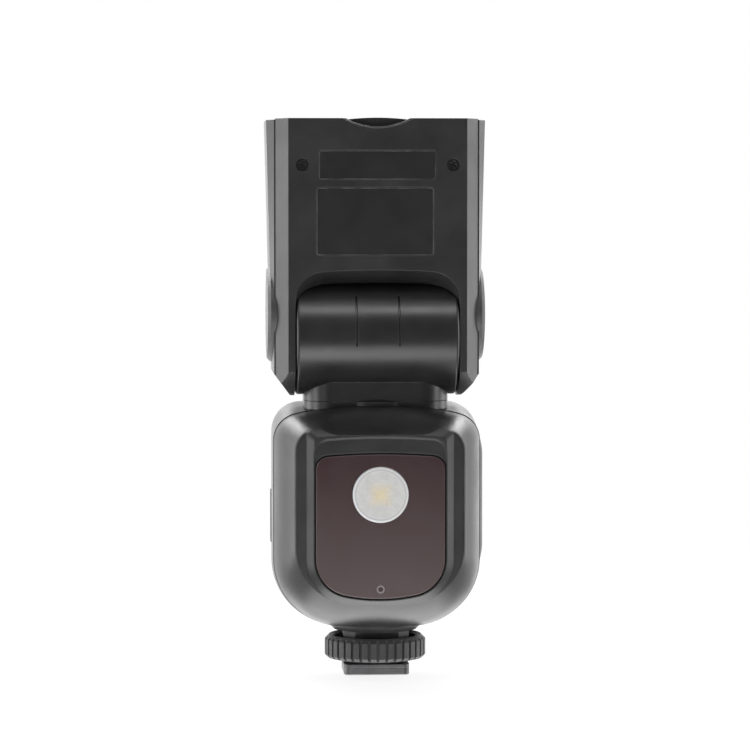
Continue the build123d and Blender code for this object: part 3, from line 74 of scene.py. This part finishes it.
class Shader:
    """A small helper around one node material with a Principled shader."""

    def __init__(self, name):
        self.material = bpy.data.materials.new(name)
        self.material.use_nodes = True
        self.tree = self.material.node_tree
        self.tree.nodes.clear()
        self.output = self.add("ShaderNodeOutputMaterial")
        self.principled = self.add("ShaderNodeBsdfPrincipled")
        self.link(self.principled.outputs["BSDF"], self.output.inputs["Surface"])
        self.coords = self.add("ShaderNodeTexCoord")

    def add(self, kind, **settings):
        node = self.tree.nodes.new(kind)
        for key, value in settings.items():
            setattr(node, key, value)
        return node

    def link(self, source, target):
        self.tree.links.new(source, target)

    def set(self, **values):
        """Constants set directly on the Principled sockets."""
        for key, value in values.items():
            self.principled.inputs[key.replace("_", " ")].default_value = value

    def stretched(self, scale):
        """Object coordinates scaled separately along X, Y and Z."""
        mapping = self.add("ShaderNodeMapping")
        mapping.inputs["Scale"].default_value = scale
        self.link(self.coords.outputs["Object"], mapping.inputs["Vector"])
        return mapping.outputs["Vector"]

    def noise(self, scale, detail=3.0, rough=0.55, vector=None, distortion=0.0):
        node = self.add("ShaderNodeTexNoise")
        node.inputs["Scale"].default_value = scale
        node.inputs["Detail"].default_value = detail
        node.inputs["Roughness"].default_value = rough
        node.inputs["Distortion"].default_value = distortion
        self.link(vector or self.coords.outputs["Object"], node.inputs["Vector"])
        return node.outputs["Fac"]

    def voronoi(self, scale, feature="F1"):
        node = self.add("ShaderNodeTexVoronoi", feature=feature)
        node.inputs["Scale"].default_value = scale
        self.link(self.coords.outputs["Object"], node.inputs["Vector"])
        return node.outputs["Distance"]

    def ramp(self, value, low, high, out_low, out_high):
        """Remap a value linearly between two levels."""
        node = self.add("ShaderNodeMapRange")
        node.inputs["From Min"].default_value = low
        node.inputs["From Max"].default_value = high
        node.inputs["To Min"].default_value = out_low
        node.inputs["To Max"].default_value = out_high
        self.link(value, node.inputs["Value"])
        return node.outputs["Result"]

    def math(self, operation, first, second=None):
        node = self.add("ShaderNodeMath", operation=operation)
        for index, value in enumerate((first, second)):
            if value is None:
                continue
            if isinstance(value, (int, float)):
                node.inputs[index].default_value = value
            else:
                self.link(value, node.inputs[index])
        return node.outputs["Value"]

    def mix(self, factor, first, second):
        """Mix two colours, each a socket or a plain (r, g, b)."""
        node = self.add("ShaderNodeMix", data_type="RGBA")
        self.link(factor, node.inputs["Factor"])
        for socket, value in ((node.inputs[6], first), (node.inputs[7], second)):
            if isinstance(value, tuple):
                socket.default_value = (*value, 1.0)
            else:
                self.link(value, socket)
        return node.outputs[2]

    def bump(self, height, strength, distance, normal):
        node = self.add("ShaderNodeBump")
        node.inputs["Strength"].default_value = strength
        node.inputs["Distance"].default_value = distance
        self.link(height, node.inputs["Height"])
        self.link(normal, node.inputs["Normal"])
        return node.outputs["Normal"]

    def rounded(self, radius):
        """Normal that softens the edges over a small radius."""
        node = self.add("ShaderNodeBevel", samples=BEVEL_SAMPLES)
        node.inputs["Radius"].default_value = radius
        return node.outputs["Normal"]

    def rounded_above(self, radius, wide, low, high):
        """Normal softened over a small radius, and over a wide one above a height."""
        node = self.add("ShaderNodeMix", data_type="VECTOR")
        self.link(self.ramp(self.axis("Z"), low, high, 0.0, 1.0), node.inputs["Factor"])
        self.link(self.rounded(radius), node.inputs[4])
        self.link(self.rounded(wide), node.inputs[5])
        return node.outputs[1]

    def edge_mask(self, radius):
        """Rises from 0 on flat areas to 1 along the edges."""
        geometry = self.add("ShaderNodeNewGeometry")
        dot = self.add("ShaderNodeVectorMath", operation="DOT_PRODUCT")
        self.link(self.rounded(radius), dot.inputs[0])
        self.link(geometry.outputs["Normal"], dot.inputs[1])
        return self.ramp(dot.outputs["Value"], EDGE_STARTS, EDGE_FULL, 0.0, 1.0)

    def rub(self, edge, scratches, low, high, least, most):
        """Edges rubbed by handling, broken up by a noise."""
        patchy = self.ramp(scratches, low, high, least, most)
        return self.math("MULTIPLY", self.edge_mask(edge * EDGE_REACH), patchy)

    def axis(self, name):
        """One object coordinate, in metres."""
        split = self.add("ShaderNodeSeparateXYZ")
        self.link(self.coords.outputs["Object"], split.inputs["Vector"])
        return split.outputs[name]

    def off_middle(self, name, low, high):
        """Signed distance from the middle of a box along one axis."""
        index = "XYZ".index(name)
        return self.math("SUBTRACT", self.axis(name), (low[index] + high[index]) / 2)

    def squares(self, first, second):
        """Sum of the squares of two values."""
        return self.math("ADD", self.math("MULTIPLY", first, first), self.math("MULTIPLY", second, second))

    def blend_noise(self, value, low, high):
        """Mix two colours by a noise value, over the middle of its range."""
        return self.mix(self.ramp(value, NOISE_LOW, NOISE_HIGH, 0.0, 1.0), low, high)

    def colour(self, source):
        self.link(source, self.principled.inputs["Base Color"])

    def roughness(self, source):
        self.link(source, self.principled.inputs["Roughness"])

    def normal(self, source):
        self.link(source, self.principled.inputs["Normal"])


def grey(level):
    return (level, level, level)


def moulded(name, base, rough, grain, grain_depth, wear=0.35, edge=0.00025, specular=0.35, coat=0.0,
            saddle=None, blotch=1.5):
    """Moulded plastic: fine grain, faint mottling, polished and paler edges.

    grain is the grain's frequency and grain_depth its height in metres, wear how far the edges are
    rubbed, edge their rounding, and blotch how much paler the mottling gets. saddle gives a wider
    rounding and the heights between which it takes over.
    """
    shader = Shader(name)
    lighter = tuple(channel * blotch + 0.004 for channel in base)
    rubbed = tuple(channel * 2.3 + 0.02 for channel in base)
    body = shader.blend_noise(shader.noise(90.0, 4.0), base, lighter)
    rub = shader.rub(edge, shader.noise(700.0, 4.0), 0.42, 0.66, 0.0, wear)
    shader.colour(shader.mix(rub, body, rubbed))
    smudge = shader.noise(38.0, 5.0, 0.62, distortion=0.6)
    variation = shader.ramp(smudge, 0.3, 0.72, rough - 0.05, rough + 0.06)
    shader.roughness(shader.math("SUBTRACT", variation, shader.math("MULTIPLY", rub, 0.12)))
    pits = shader.math("MULTIPLY", shader.voronoi(grain * 0.55), 0.6)
    height = shader.math("ADD", shader.noise(grain, 2.0, 0.6), pits)
    form = shader.rounded_above(edge, *saddle) if saddle else shader.rounded(edge)
    shader.normal(shader.bump(height, 0.55, grain_depth, form))
    shader.set(Specular_IOR_Level=specular, Coat_Weight=coat, Coat_Roughness=0.12)
    return shader


def metal(name, base, rough, brush, metallic):
    """Plated or turned metal with brushed streaks and brighter edges."""
    shader = Shader(name)
    streaks = shader.noise(900.0, 3.0, 0.6, shader.stretched(brush))
    dull = tuple(channel * 0.72 for channel in base)
    bright = tuple(min(1.0, channel * 1.35 + 0.03) for channel in base)
    body = shader.blend_noise(shader.noise(160.0, 4.0), dull, base)
    rub = shader.rub(SMALL_EDGE, shader.noise(1500.0), 0.35, 0.6, 0.1, 0.8)
    shader.colour(shader.mix(rub, body, bright))
    shader.roughness(shader.ramp(streaks, 0.25, 0.75, rough - 0.07, rough + 0.09))
    shader.normal(shader.bump(streaks, 0.25, FAINT, shader.rounded(SMALL_EDGE)))
    shader.set(Metallic=metallic)
    return shader


# ---------------------------------------------------------------- the part's materials
CELL_HALF = 0.0168        # cell area of the display: half width, lower and upper end, soft border
CELL_BOTTOM = 0.0480
CELL_TOP = 0.0692
CELL_BORDER = 0.0004
LABEL_CORNER = 0.0008     # corner radius of the painted edge highlight on a label, metres
LABEL_HIGHLIGHT_INSET = 0.00022     # the painted highlight's distance from the label's edge


def make_window():
    """Dark infrared-pass acrylic, with a painted reflection that makes it slightly warmer and paler
    towards its lower end.
    """
    shader = Shader("window_plastic")
    low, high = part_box("window_panel")
    # painted reflection: the colour goes from the dark tint at the top of the panel to a paler one at its
    # lower end
    painted_reflection = shader.ramp(shader.axis("Z"), low[2], high[2], 1.0, 0.0)
    haze = shader.noise(55.0, 5.0, 0.6, distortion=0.8)
    tint = shader.mix(painted_reflection, (0.027, 0.0145, 0.0155), (0.070, 0.053, 0.053))
    shader.colour(shader.mix(shader.ramp(haze, 0.35, 0.75, 0.0, 0.18), tint, (0.072, 0.058, 0.060)))
    shader.roughness(shader.ramp(haze, 0.3, 0.75, 0.13, 0.22))
    shader.normal(shader.bump(shader.noise(30.0, 1.0), 0.12, 0.0002, shader.rounded(SMALL_EDGE)))
    shader.set(Specular_IOR_Level=0.45, Coat_Weight=0.08, Coat_Roughness=0.06)
    return shader


def radial(shader, node):
    """For a round piece that faces -Y: distance from its axis, across it, up it, and its radius."""
    low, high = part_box(node)
    across, up = shader.off_middle("X", low, high), shader.off_middle("Z", low, high)
    return shader.math("SQRT", shader.squares(across, up)), across, up, (high[0] - low[0]) / 2


def make_lamp():
    """Frosted lamp lens: pale rim, greyer field and the warm emitter glowing through."""
    shader = Shader("lamp_lens")
    distance, across, up, radius = radial(shader, "led_lens")
    reach = shader.math("MAXIMUM", shader.math("ABSOLUTE", across), shader.math("ABSOLUTE", up))
    core = shader.ramp(reach, radius * 0.08, radius * 0.46, 1.0, 0.0)
    rim = shader.ramp(distance, radius * 0.80, radius * 0.93, 0.0, 1.0)
    off_seam = shader.math("ABSOLUTE", shader.math("SUBTRACT", distance, radius * 0.89))
    seam = shader.ramp(off_seam, radius * 0.01, radius * 0.045, 0.7, 0.0)
    cloudy = shader.noise(420.0, 3.0)
    field = shader.blend_noise(cloudy, (0.35, 0.35, 0.345), (0.40, 0.40, 0.395))
    warm = shader.mix(core, field, (0.44, 0.38, 0.265))
    shader.colour(shader.mix(seam, shader.mix(rim, warm, (0.46, 0.46, 0.47)), grey(0.25)))
    shader.normal(shader.bump(shader.voronoi(1300.0), 0.5, 0.00012, shader.rounded(0.0003)))
    shader.roughness(shader.ramp(cloudy, NOISE_LOW, NOISE_HIGH, 0.30, 0.42))
    shader.set(Specular_IOR_Level=0.5, Coat_Weight=0.3, Coat_Roughness=0.1)
    shader.set(Subsurface_Weight=0.15, Subsurface_Scale=0.002)
    return shader


def make_emitter():
    """Small dark bead with a paler ring near its edge."""
    shader = Shader("emitter_bead")
    distance, _, _, radius = radial(shader, "focus_emitter")
    off_ring = shader.math("ABSOLUTE", shader.math("SUBTRACT", distance, radius * 0.72))
    ring = shader.ramp(off_ring, radius * 0.10, radius * 0.26, 1.0, 0.0)
    speck = shader.noise(2400.0)
    dark = shader.blend_noise(speck, (0.03, 0.022, 0.022), (0.05, 0.036, 0.036))
    shader.colour(shader.mix(ring, dark, (0.17, 0.15, 0.15)))
    shader.normal(shader.bump(speck, 0.1, FAINT, shader.rounded(SMALL_EDGE)))
    shader.roughness(shader.ramp(speck, NOISE_LOW, NOISE_HIGH, 0.12, 0.2))
    return shader


def make_label(name, node, base, rough):
    """Blank label on satin laminate, with a painted edge highlight: a patchy pale line with rounded
    corners just inside its edge.
    """
    shader = Shader(name)
    low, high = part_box(node)
    out = []
    for index, letter in ((0, "X"), (2, "Z")):
        straight = (high[index] - low[index]) / 2 - LABEL_CORNER
        aside = shader.math("ABSOLUTE", shader.off_middle(letter, low, high))
        out.append(shader.math("SUBTRACT", aside, straight))
    at_corner = shader.squares(*(shader.math("MAXIMUM", value, 0.0) for value in out))
    at_side = shader.math("MINIMUM", shader.math("MAXIMUM", *out), 0.0)
    reach = shader.math("ADD", shader.math("SQRT", at_corner), at_side)
    off_highlight = shader.math("ADD", shader.math("SUBTRACT", reach, LABEL_CORNER), LABEL_HIGHLIGHT_INSET)
    # painted highlight: a pale line along the label's edge, broken up by a noise
    painted_highlight = shader.ramp(shader.math("ABSOLUTE", off_highlight), 0.00005, 0.00016, 1.0, 0.0)
    wipe = shader.noise(60.0, 5.0, 0.65, distortion=1.2)
    field = shader.blend_noise(wipe, base, tuple(channel * 1.35 for channel in base))
    patchy = shader.ramp(shader.noise(260.0, 3.0), 0.35, 0.62, 0.15, 0.9)
    shader.colour(shader.mix(shader.math("MULTIPLY", painted_highlight, patchy), field, grey(0.075)))
    shader.roughness(shader.ramp(wipe, 0.3, 0.75, rough - 0.04, rough + 0.08))
    shader.normal(shader.bump(shader.noise(1700.0, 2.0), 0.25, FAINT, shader.rounded(0.0001)))
    shader.set(Specular_IOR_Level=0.35)
    return shader


def make_display():
    """Dark display window with a greyer cell area showing through it."""
    shader = Shader("lcd_glass")
    low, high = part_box("lcd_module")
    aside = shader.math("ABSOLUTE", shader.off_middle("X", low, high))
    sides = shader.ramp(aside, CELL_HALF, CELL_HALF + CELL_BORDER, 1.0, 0.0)
    top = shader.ramp(shader.axis("Z"), CELL_TOP, CELL_TOP + CELL_BORDER, 1.0, 0.0)
    bottom = shader.ramp(shader.axis("Z"), CELL_BOTTOM, CELL_BOTTOM + CELL_BORDER, 0.0, 1.0)
    inside = shader.math("MULTIPLY", sides, shader.math("MULTIPLY", top, bottom))
    smear = shader.noise(45.0, 5.0, 0.6, distortion=1.0)
    cell = shader.blend_noise(smear, (0.058, 0.066, 0.058), (0.072, 0.082, 0.070))
    shader.colour(shader.mix(inside, (0.012, 0.012, 0.013), cell))
    shader.roughness(shader.ramp(smear, 0.3, 0.75, 0.07, 0.15))
    shader.normal(shader.bump(shader.noise(25.0, 1.0), 0.05, 0.0002, shader.rounded(SMALL_EDGE)))
    shader.set(Coat_Weight=0.5, Coat_Roughness=0.04)
    return shader


def make_clear(name, tint, rough, rib_scale, rib_depth):
    """Clear moulded plastic with parallel prism ribs."""
    shader = Shader(name)
    ribs = shader.add("ShaderNodeTexWave", wave_type="BANDS", bands_direction="Y", wave_profile="SAW")
    ribs.inputs["Scale"].default_value = rib_scale
    ribs.inputs["Distortion"].default_value = 0.0
    shader.link(shader.coords.outputs["Object"], ribs.inputs["Vector"])
    dust = shader.noise(900.0, 4.0)
    dusty = tuple(channel * 0.93 for channel in tint)
    shader.colour(shader.mix(shader.ramp(dust, 0.4, 0.8, 0.0, 0.5), tint, dusty))
    shader.roughness(shader.ramp(dust, 0.3, 0.8, rough, rough + 0.08))
    shader.normal(shader.bump(ribs.outputs["Fac"], 0.8, rib_depth, shader.rounded(SMALL_EDGE)))
    shader.set(Transmission_Weight=0.9, IOR=1.49)
    return shader


def make_board():
    """Green circuit board with paler tracks."""
    shader = Shader("board")
    tracks = shader.voronoi(420.0, "DISTANCE_TO_EDGE")
    weave = shader.noise(2600.0, 2.0)
    lines = shader.ramp(tracks, 0.03, 0.07, 1.0, 0.0)
    base = shader.blend_noise(weave, (0.012, 0.075, 0.035), (0.018, 0.1, 0.045))
    shader.colour(shader.mix(lines, base, (0.05, 0.2, 0.09)))
    shader.roughness(shader.ramp(weave, NOISE_LOW, NOISE_HIGH, 0.28, 0.4))
    shader.normal(shader.bump(tracks, 0.3, 0.00004, shader.rounded(SMALL_EDGE)))
    return shader


SHELL = (0.0095, 0.0095, 0.0098)
SHELL_FINISH = (0.36, 5200.0, FINE)      # roughness, grain frequency, grain height
CAP_FINISH = (0.42, 5200.0, FINE)
SHELL_SPECULAR = 0.45
SADDLE = (0.0035, 0.0690, 0.0715)        # wide rounding at the hollow under the neck

# slot: colour, roughness, grain frequency, grain height, and what differs from moulded()'s defaults
PLASTICS = {
    "shell_plastic": (SHELL, *SHELL_FINISH, dict(specular=SHELL_SPECULAR)),
    "barrel_plastic": ((0.008, 0.008, 0.0082), 0.31, 7000.0, 0.000005,
                       dict(wear=0.15, specular=SHELL_SPECULAR)),
    "trim_plastic": ((0.012, 0.012, 0.013), 0.20, 6000.0, 0.000008, dict(coat=0.3)),
    "ring_plastic": (grey(0.030), 0.50, 4800.0, FINE, dict(wear=0.5, edge=SMALL_EDGE, specular=0.28)),
    "insulator": (grey(0.013), 0.45, 5000.0, FINE, {}),
    "bay_plastic": (grey(0.03), 0.5, 4500.0, FINE, {}),
    "battery_plastic": ((0.018, 0.018, 0.019), 0.42, 4200.0, 0.00004, {}),
    "flap_rubber": (grey(0.016), 0.62, 3800.0, 0.00005, dict(wear=0.2)),
    "key_rubber": ((0.028, 0.028, 0.029), 0.58, 4200.0, 0.00004, dict(wear=0.3)),
    # the white card gets a dark grey: painted shade that stands in for less light falling on it
    "card_white": ((0.19, 0.19, 0.185), 0.5, 3000.0, FINE, dict(wear=0.0, blotch=1.08)),
    "can": ((0.01, 0.01, 0.02), 0.25, 3000.0, 0.00001, dict(coat=0.4)),
    "lcd_cell": ((0.05, 0.06, 0.05), 0.3, 3000.0, 0.00001, {}),
}
# slot: colour, roughness, scale of the brushing along X, Y and Z, share of metal
METALS = {
    "foot_metal": ((0.125, 0.125, 0.128), 0.46, (1.0, 0.06, 1.0), 1.0),
    "steel": ((0.55, 0.55, 0.56), 0.28, (0.08, 1.0, 1.0), 1.0),
    "black_screw": ((0.028, 0.028, 0.029), 0.34, (1.0, 1.0, 1.0), 0.7),
    "contact_gold": ((0.72, 0.50, 0.20), 0.22, (1.0, 1.0, 1.0), 1.0),
    "reflector_metal": ((0.83, 0.83, 0.84), 0.12, (0.1, 1.0, 1.0), 1.0),
}
# slot: tint, roughness, rib frequency, rib height
CLEARS = {
    "clear_lens": ((0.93, 0.95, 0.96), 0.06, 220.0, FINE),
    "tube_glass": ((0.95, 0.95, 0.93), 0.02, 50.0, 0.00001),
    "diffuser": ((0.74, 0.77, 0.79), 0.22, 500.0, 0.00008),
}
MATERIALS = {slot: moulded(slot, *row[:-1], **row[-1]) for slot, row in PLASTICS.items()}
MATERIALS.update({slot: metal(slot, *row) for slot, row in METALS.items()})
MATERIALS.update({slot: make_clear(slot, *row) for slot, row in CLEARS.items()})
MATERIALS.update({
    "window_plastic": make_window(),
    "lamp_lens": make_lamp(),
    "lcd_glass": make_display(),
    "board": make_board(),
})
# nodes whose surface differs from the rest of their slot
BY_NODE = {
    "hinge_cap_left": moulded("cap_plastic_left", grey(0.030), *CAP_FINISH, specular=0.5),
    "hinge_cap_right": moulded("cap_plastic_right", grey(0.030), *CAP_FINISH, specular=0.5),
    "front_cover": moulded("cover_plastic", SHELL, *SHELL_FINISH, edge=0.0006,
                           specular=SHELL_SPECULAR, saddle=SADDLE),
    # paler than the shell: painted light that lifts the shade on the pillar between the collar and the
    # lock ring
    "foot_mount": moulded("mount_plastic_painted_light", grey(0.022), 0.42, 5000.0, FINE, specular=0.30),
    "focus_emitter": make_emitter(),
    "name_label": make_label("name_label_with_painted_highlight", "name_label", SHELL, 0.34),
    "rating_label": make_label("rating_label_with_painted_highlight", "rating_label", SHELL, 0.34),
}

for node, thing in frame["nodes"].items():
    shader = BY_NODE.get(node) or MATERIALS[slot_of[node]]
    thing.data.materials.clear()
    thing.data.materials.append(shader.material)


# ---------------------------------------------------------------- fine pieces
RIB_COUNT = 26
RIB_DEPTH = 0.0007        # height of the outermost rib, metres
RIB_LEAST = 0.25          # height of the middle rib, as a share of the outermost
RIB_RUN = 0.9             # length of a rib's slope, as a share of the spacing


def dressed(thing, material, body):
    """Give a modelled piece its surface and its body."""
    thing.data.materials.clear()
    thing.data.materials.append(MATERIALS[material].material)
    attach(thing, body)


def ribbed_lens():
    """Prismatic lens: saw-tooth ribs along its length that steepen away from the middle."""
    low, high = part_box("fresnel_lens")
    middle = (low[1] + high[1]) / 2
    pitch = (high[1] - low[1]) / RIB_COUNT
    profile = [(high[1], low[2]), (low[1], low[2])]
    for index in range(RIB_COUNT):
        start = low[1] + pitch * index
        away = abs(start + pitch / 2 - middle) / (high[1] - middle)
        depth = RIB_DEPTH * (RIB_LEAST + (1 - RIB_LEAST) * away)
        if start + pitch / 2 < middle:
            profile += [(start, high[2] - depth), (start + pitch * RIB_RUN, high[2])]
        else:
            profile += [(start + pitch * (1 - RIB_RUN), high[2]), (start + pitch, high[2] - depth)]
    count = len(profile)
    points = [(x, y, z) for x in (low[0], high[0]) for y, z in profile]
    faces = [tuple(range(count)), tuple(range(2 * count - 1, count - 1, -1))]
    for index in range(count):
        after = (index + 1) % count
        faces.append((index, index + count, after + count, after))
    mesh = bpy.data.meshes.new("ribbed_lens")
    mesh.from_pydata(points, [], faces)
    mesh.update()
    lens = bpy.data.objects.new("ribbed_lens", mesh)
    bpy.context.collection.objects.link(lens)
    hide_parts("fresnel_lens")
    dressed(lens, "clear_lens", "head")


ribbed_lens()


# ---------------------------------------------------------------- floor and light
FLOOR_RADIUS = 1.6
FLOOR_SIDES = 96
FLOOR_DROP = 0.0001                   # gap between the part and the floor, metres
FLOOR_SHADE = 0.85
GLOW_NEAR, GLOW_FAR = 0.87, 1.0       # share of plain white near the part and further out
FADE_FROM, FADE_TO = 0.06, 0.45       # distances between which it fades, metres

FILL = 0.40                           # world seen by diffuse rays
ROOM_FRONT, ROOM_AROUND = 0.10, 1.0   # world seen in reflections, in front and elsewhere
ROOM_FROM, ROOM_TO = -0.75, 0.1       # Y of the directions between which the one becomes the other

LAMP_TARGET = (0, 0, 0.09)
# name, azimuth, elevation, distance, width, height, power
LAMPS = (
    ("side_left", -110, 4, 0.75, 0.30, 0.62, 2.2),
    ("side_right", 110, 4, 0.75, 0.30, 0.62, 1.6),
    ("flank_left", -76, 2, 0.80, 0.22, 0.70, 2.4),
    ("flank_right", 76, 2, 0.80, 0.22, 0.70, 1.8),
    ("front_left", -42, 2, 0.90, 0.25, 0.60, 0.6),
    ("back_left", -160, 10, 0.80, 0.40, 0.90, 1.0),
    ("back_right", 160, 10, 0.80, 0.40, 0.90, 1.2),
    ("corner_left", -138, 44, 0.80, 0.60, 0.45, 6.2),
    ("corner_right", 138, 44, 0.80, 0.60, 0.45, 5.6),
    ("top_front", 0, 58, 0.80, 0.45, 0.16, 1.7),
    ("top_back", 180, 48, 0.80, 1.00, 0.45, 4.0),
    ("table_front", 0, -32, 0.90, 0.45, 0.40, 3.2),
    ("table", 0, -88, 0.45, 0.60, 0.50, 4.0),
    ("table_back", 180, -42, 0.80, 1.00, 0.40, 2.4),
)


def connect(tree, *pairs):
    for source, target in pairs:
        tree.links.new(source, target)


def floor_material():
    """Pale floor: it takes the shadow near the object and fades to plain white further out.

    The floor is hidden from reflections, but rays that a rough clear piece refracts count as glossy
    and do reach it, so it glows for those as well.
    """
    material = bpy.data.materials.new("floor_white")
    material.use_nodes = True
    tree = material.node_tree
    tree.nodes.clear()
    add = tree.nodes.new
    output = add("ShaderNodeOutputMaterial")
    diffuse = add("ShaderNodeBsdfDiffuse")
    diffuse.inputs["Color"].default_value = (*grey(FLOOR_SHADE), 1.0)
    glow = add("ShaderNodeEmission")
    glow.inputs["Strength"].default_value = 1.0
    path = add("ShaderNodeLightPath")
    seen = add("ShaderNodeMath")
    seen.operation = "MAXIMUM"
    coords = add("ShaderNodeTexCoord")
    distance = add("ShaderNodeVectorMath")
    distance.operation = "LENGTH"
    fade = add("ShaderNodeMapRange")
    fade.interpolation_type = "SMOOTHSTEP"
    fade.inputs["From Min"].default_value = FADE_FROM
    fade.inputs["From Max"].default_value = FADE_TO
    fade.inputs["To Min"].default_value = GLOW_NEAR
    fade.inputs["To Max"].default_value = GLOW_FAR
    amount = add("ShaderNodeMath")
    amount.operation = "MULTIPLY"
    lit = add("ShaderNodeMixShader")
    connect(
        tree,
        (coords.outputs["Object"], distance.inputs[0]),
        (distance.outputs["Value"], fade.inputs["Value"]),
        (path.outputs["Is Camera Ray"], seen.inputs[0]),
        (path.outputs["Is Glossy Ray"], seen.inputs[1]),
        (seen.outputs["Value"], amount.inputs[0]),
        (fade.outputs["Result"], amount.inputs[1]),
        (amount.outputs["Value"], lit.inputs["Fac"]),
        (diffuse.outputs["BSDF"], lit.inputs[1]),
        (glow.outputs["Emission"], lit.inputs[2]),
        (lit.outputs["Shader"], output.inputs["Surface"]),
    )
    return material


def make_floor():
    """Round floor just under the part. It casts no shadow and is hidden from reflections."""
    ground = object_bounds()[0][2] - FLOOR_DROP
    bpy.ops.mesh.primitive_circle_add(
        vertices=FLOOR_SIDES, radius=FLOOR_RADIUS, fill_type="NGON", location=(0, 0, ground))
    floor = bpy.context.object
    floor.name = "floor"
    floor.data.materials.append(floor_material())
    floor.visible_shadow = False
    floor.visible_glossy = False


def softbox(name, azimuth, elevation, distance, width, height, power):
    """Area lamp that faces the middle of the part from a direction."""
    light = bpy.data.lights.new(name, "AREA")
    light.shape = "RECTANGLE"
    light.size = width
    light.size_y = height
    light.energy = power
    lamp = bpy.data.objects.new(name, light)
    bpy.context.collection.objects.link(lamp)
    away = Vector(turned(azimuth, elevation)).normalized()
    lamp.location = Vector(LAMP_TARGET) + away * distance
    lamp.rotation_euler = away.to_track_quat("Z", "Y").to_euler()


def turned(azimuth, elevation):
    """Unit direction: azimuth 0 is the front (-Y), positive towards +X."""
    a, e = math.radians(azimuth), math.radians(elevation)
    return (math.sin(a) * math.cos(e), -math.cos(a) * math.cos(e), math.sin(e))


def make_world():
    """White backdrop; polished faces mirror a dim room in front and white walls around the rest."""
    world = bpy.data.worlds.new("studio")
    bpy.context.scene.world = world
    world.use_nodes = True
    tree = world.node_tree
    tree.nodes.clear()
    add = tree.nodes.new

    def blend(factor, low, high):
        """Goes from one level to the other as the factor goes from 0 to 1."""
        node = add("ShaderNodeMapRange")
        connect(tree, (factor, node.inputs["Value"]))
        for socket, value in ((node.inputs["To Min"], low), (node.inputs["To Max"], high)):
            if isinstance(value, float):
                socket.default_value = value
            else:
                connect(tree, (value, socket))
        return node

    output = add("ShaderNodeOutputWorld")
    background = add("ShaderNodeBackground")
    background.inputs["Color"].default_value = (*grey(1.0), 1.0)
    path = add("ShaderNodeLightPath")
    direction = add("ShaderNodeSeparateXYZ")
    room = blend(direction.outputs["Y"], ROOM_FRONT, ROOM_AROUND)
    room.interpolation_type = "SMOOTHSTEP"
    room.inputs["From Min"].default_value = ROOM_FROM
    room.inputs["From Max"].default_value = ROOM_TO
    seen = add("ShaderNodeMath")
    seen.operation = "MAXIMUM"
    mirrored = blend(path.outputs["Is Glossy Ray"], FILL, room.outputs["Result"])
    strength = blend(seen.outputs["Value"], mirrored.outputs["Result"], 1.0)
    connect(
        tree,
        (add("ShaderNodeTexCoord").outputs["Generated"], direction.inputs["Vector"]),
        (path.outputs["Is Camera Ray"], seen.inputs[0]),
        (path.outputs["Is Transmission Ray"], seen.inputs[1]),
        (strength.outputs["Result"], background.inputs["Strength"]),
        (background.outputs["Background"], output.inputs["Surface"]),
    )


make_floor()
make_world()
for lamp in LAMPS:
    softbox(*lamp)


# ---------------------------------------------------------------- camera
SENSOR_WIDTH = 36.0                   # millimetres, as is the lens
LENS = 160.06
CAMERA_AZIMUTH, CAMERA_ELEVATION = -3.5, 2.867
CAMERA_DISTANCE = 0.95                # metres, from the point it looks at
CAMERA_TARGET = (0, 0, 0.084758)


def make_camera():
    """Long lens, a little to the left of the front and slightly above the middle."""
    data = bpy.data.cameras.new("camera")
    data.sensor_width = SENSOR_WIDTH
    data.lens = LENS
    camera = bpy.data.objects.new("camera", data)
    bpy.context.collection.objects.link(camera)
    away = Vector(turned(CAMERA_AZIMUTH, CAMERA_ELEVATION))
    camera.location = Vector(CAMERA_TARGET) + away * CAMERA_DISTANCE
    camera.rotation_euler = away.to_track_quat("Z", "Y").to_euler()
    bpy.context.scene.camera = camera


make_camera()
bpy.context.scene.view_settings.view_transform = "Standard"
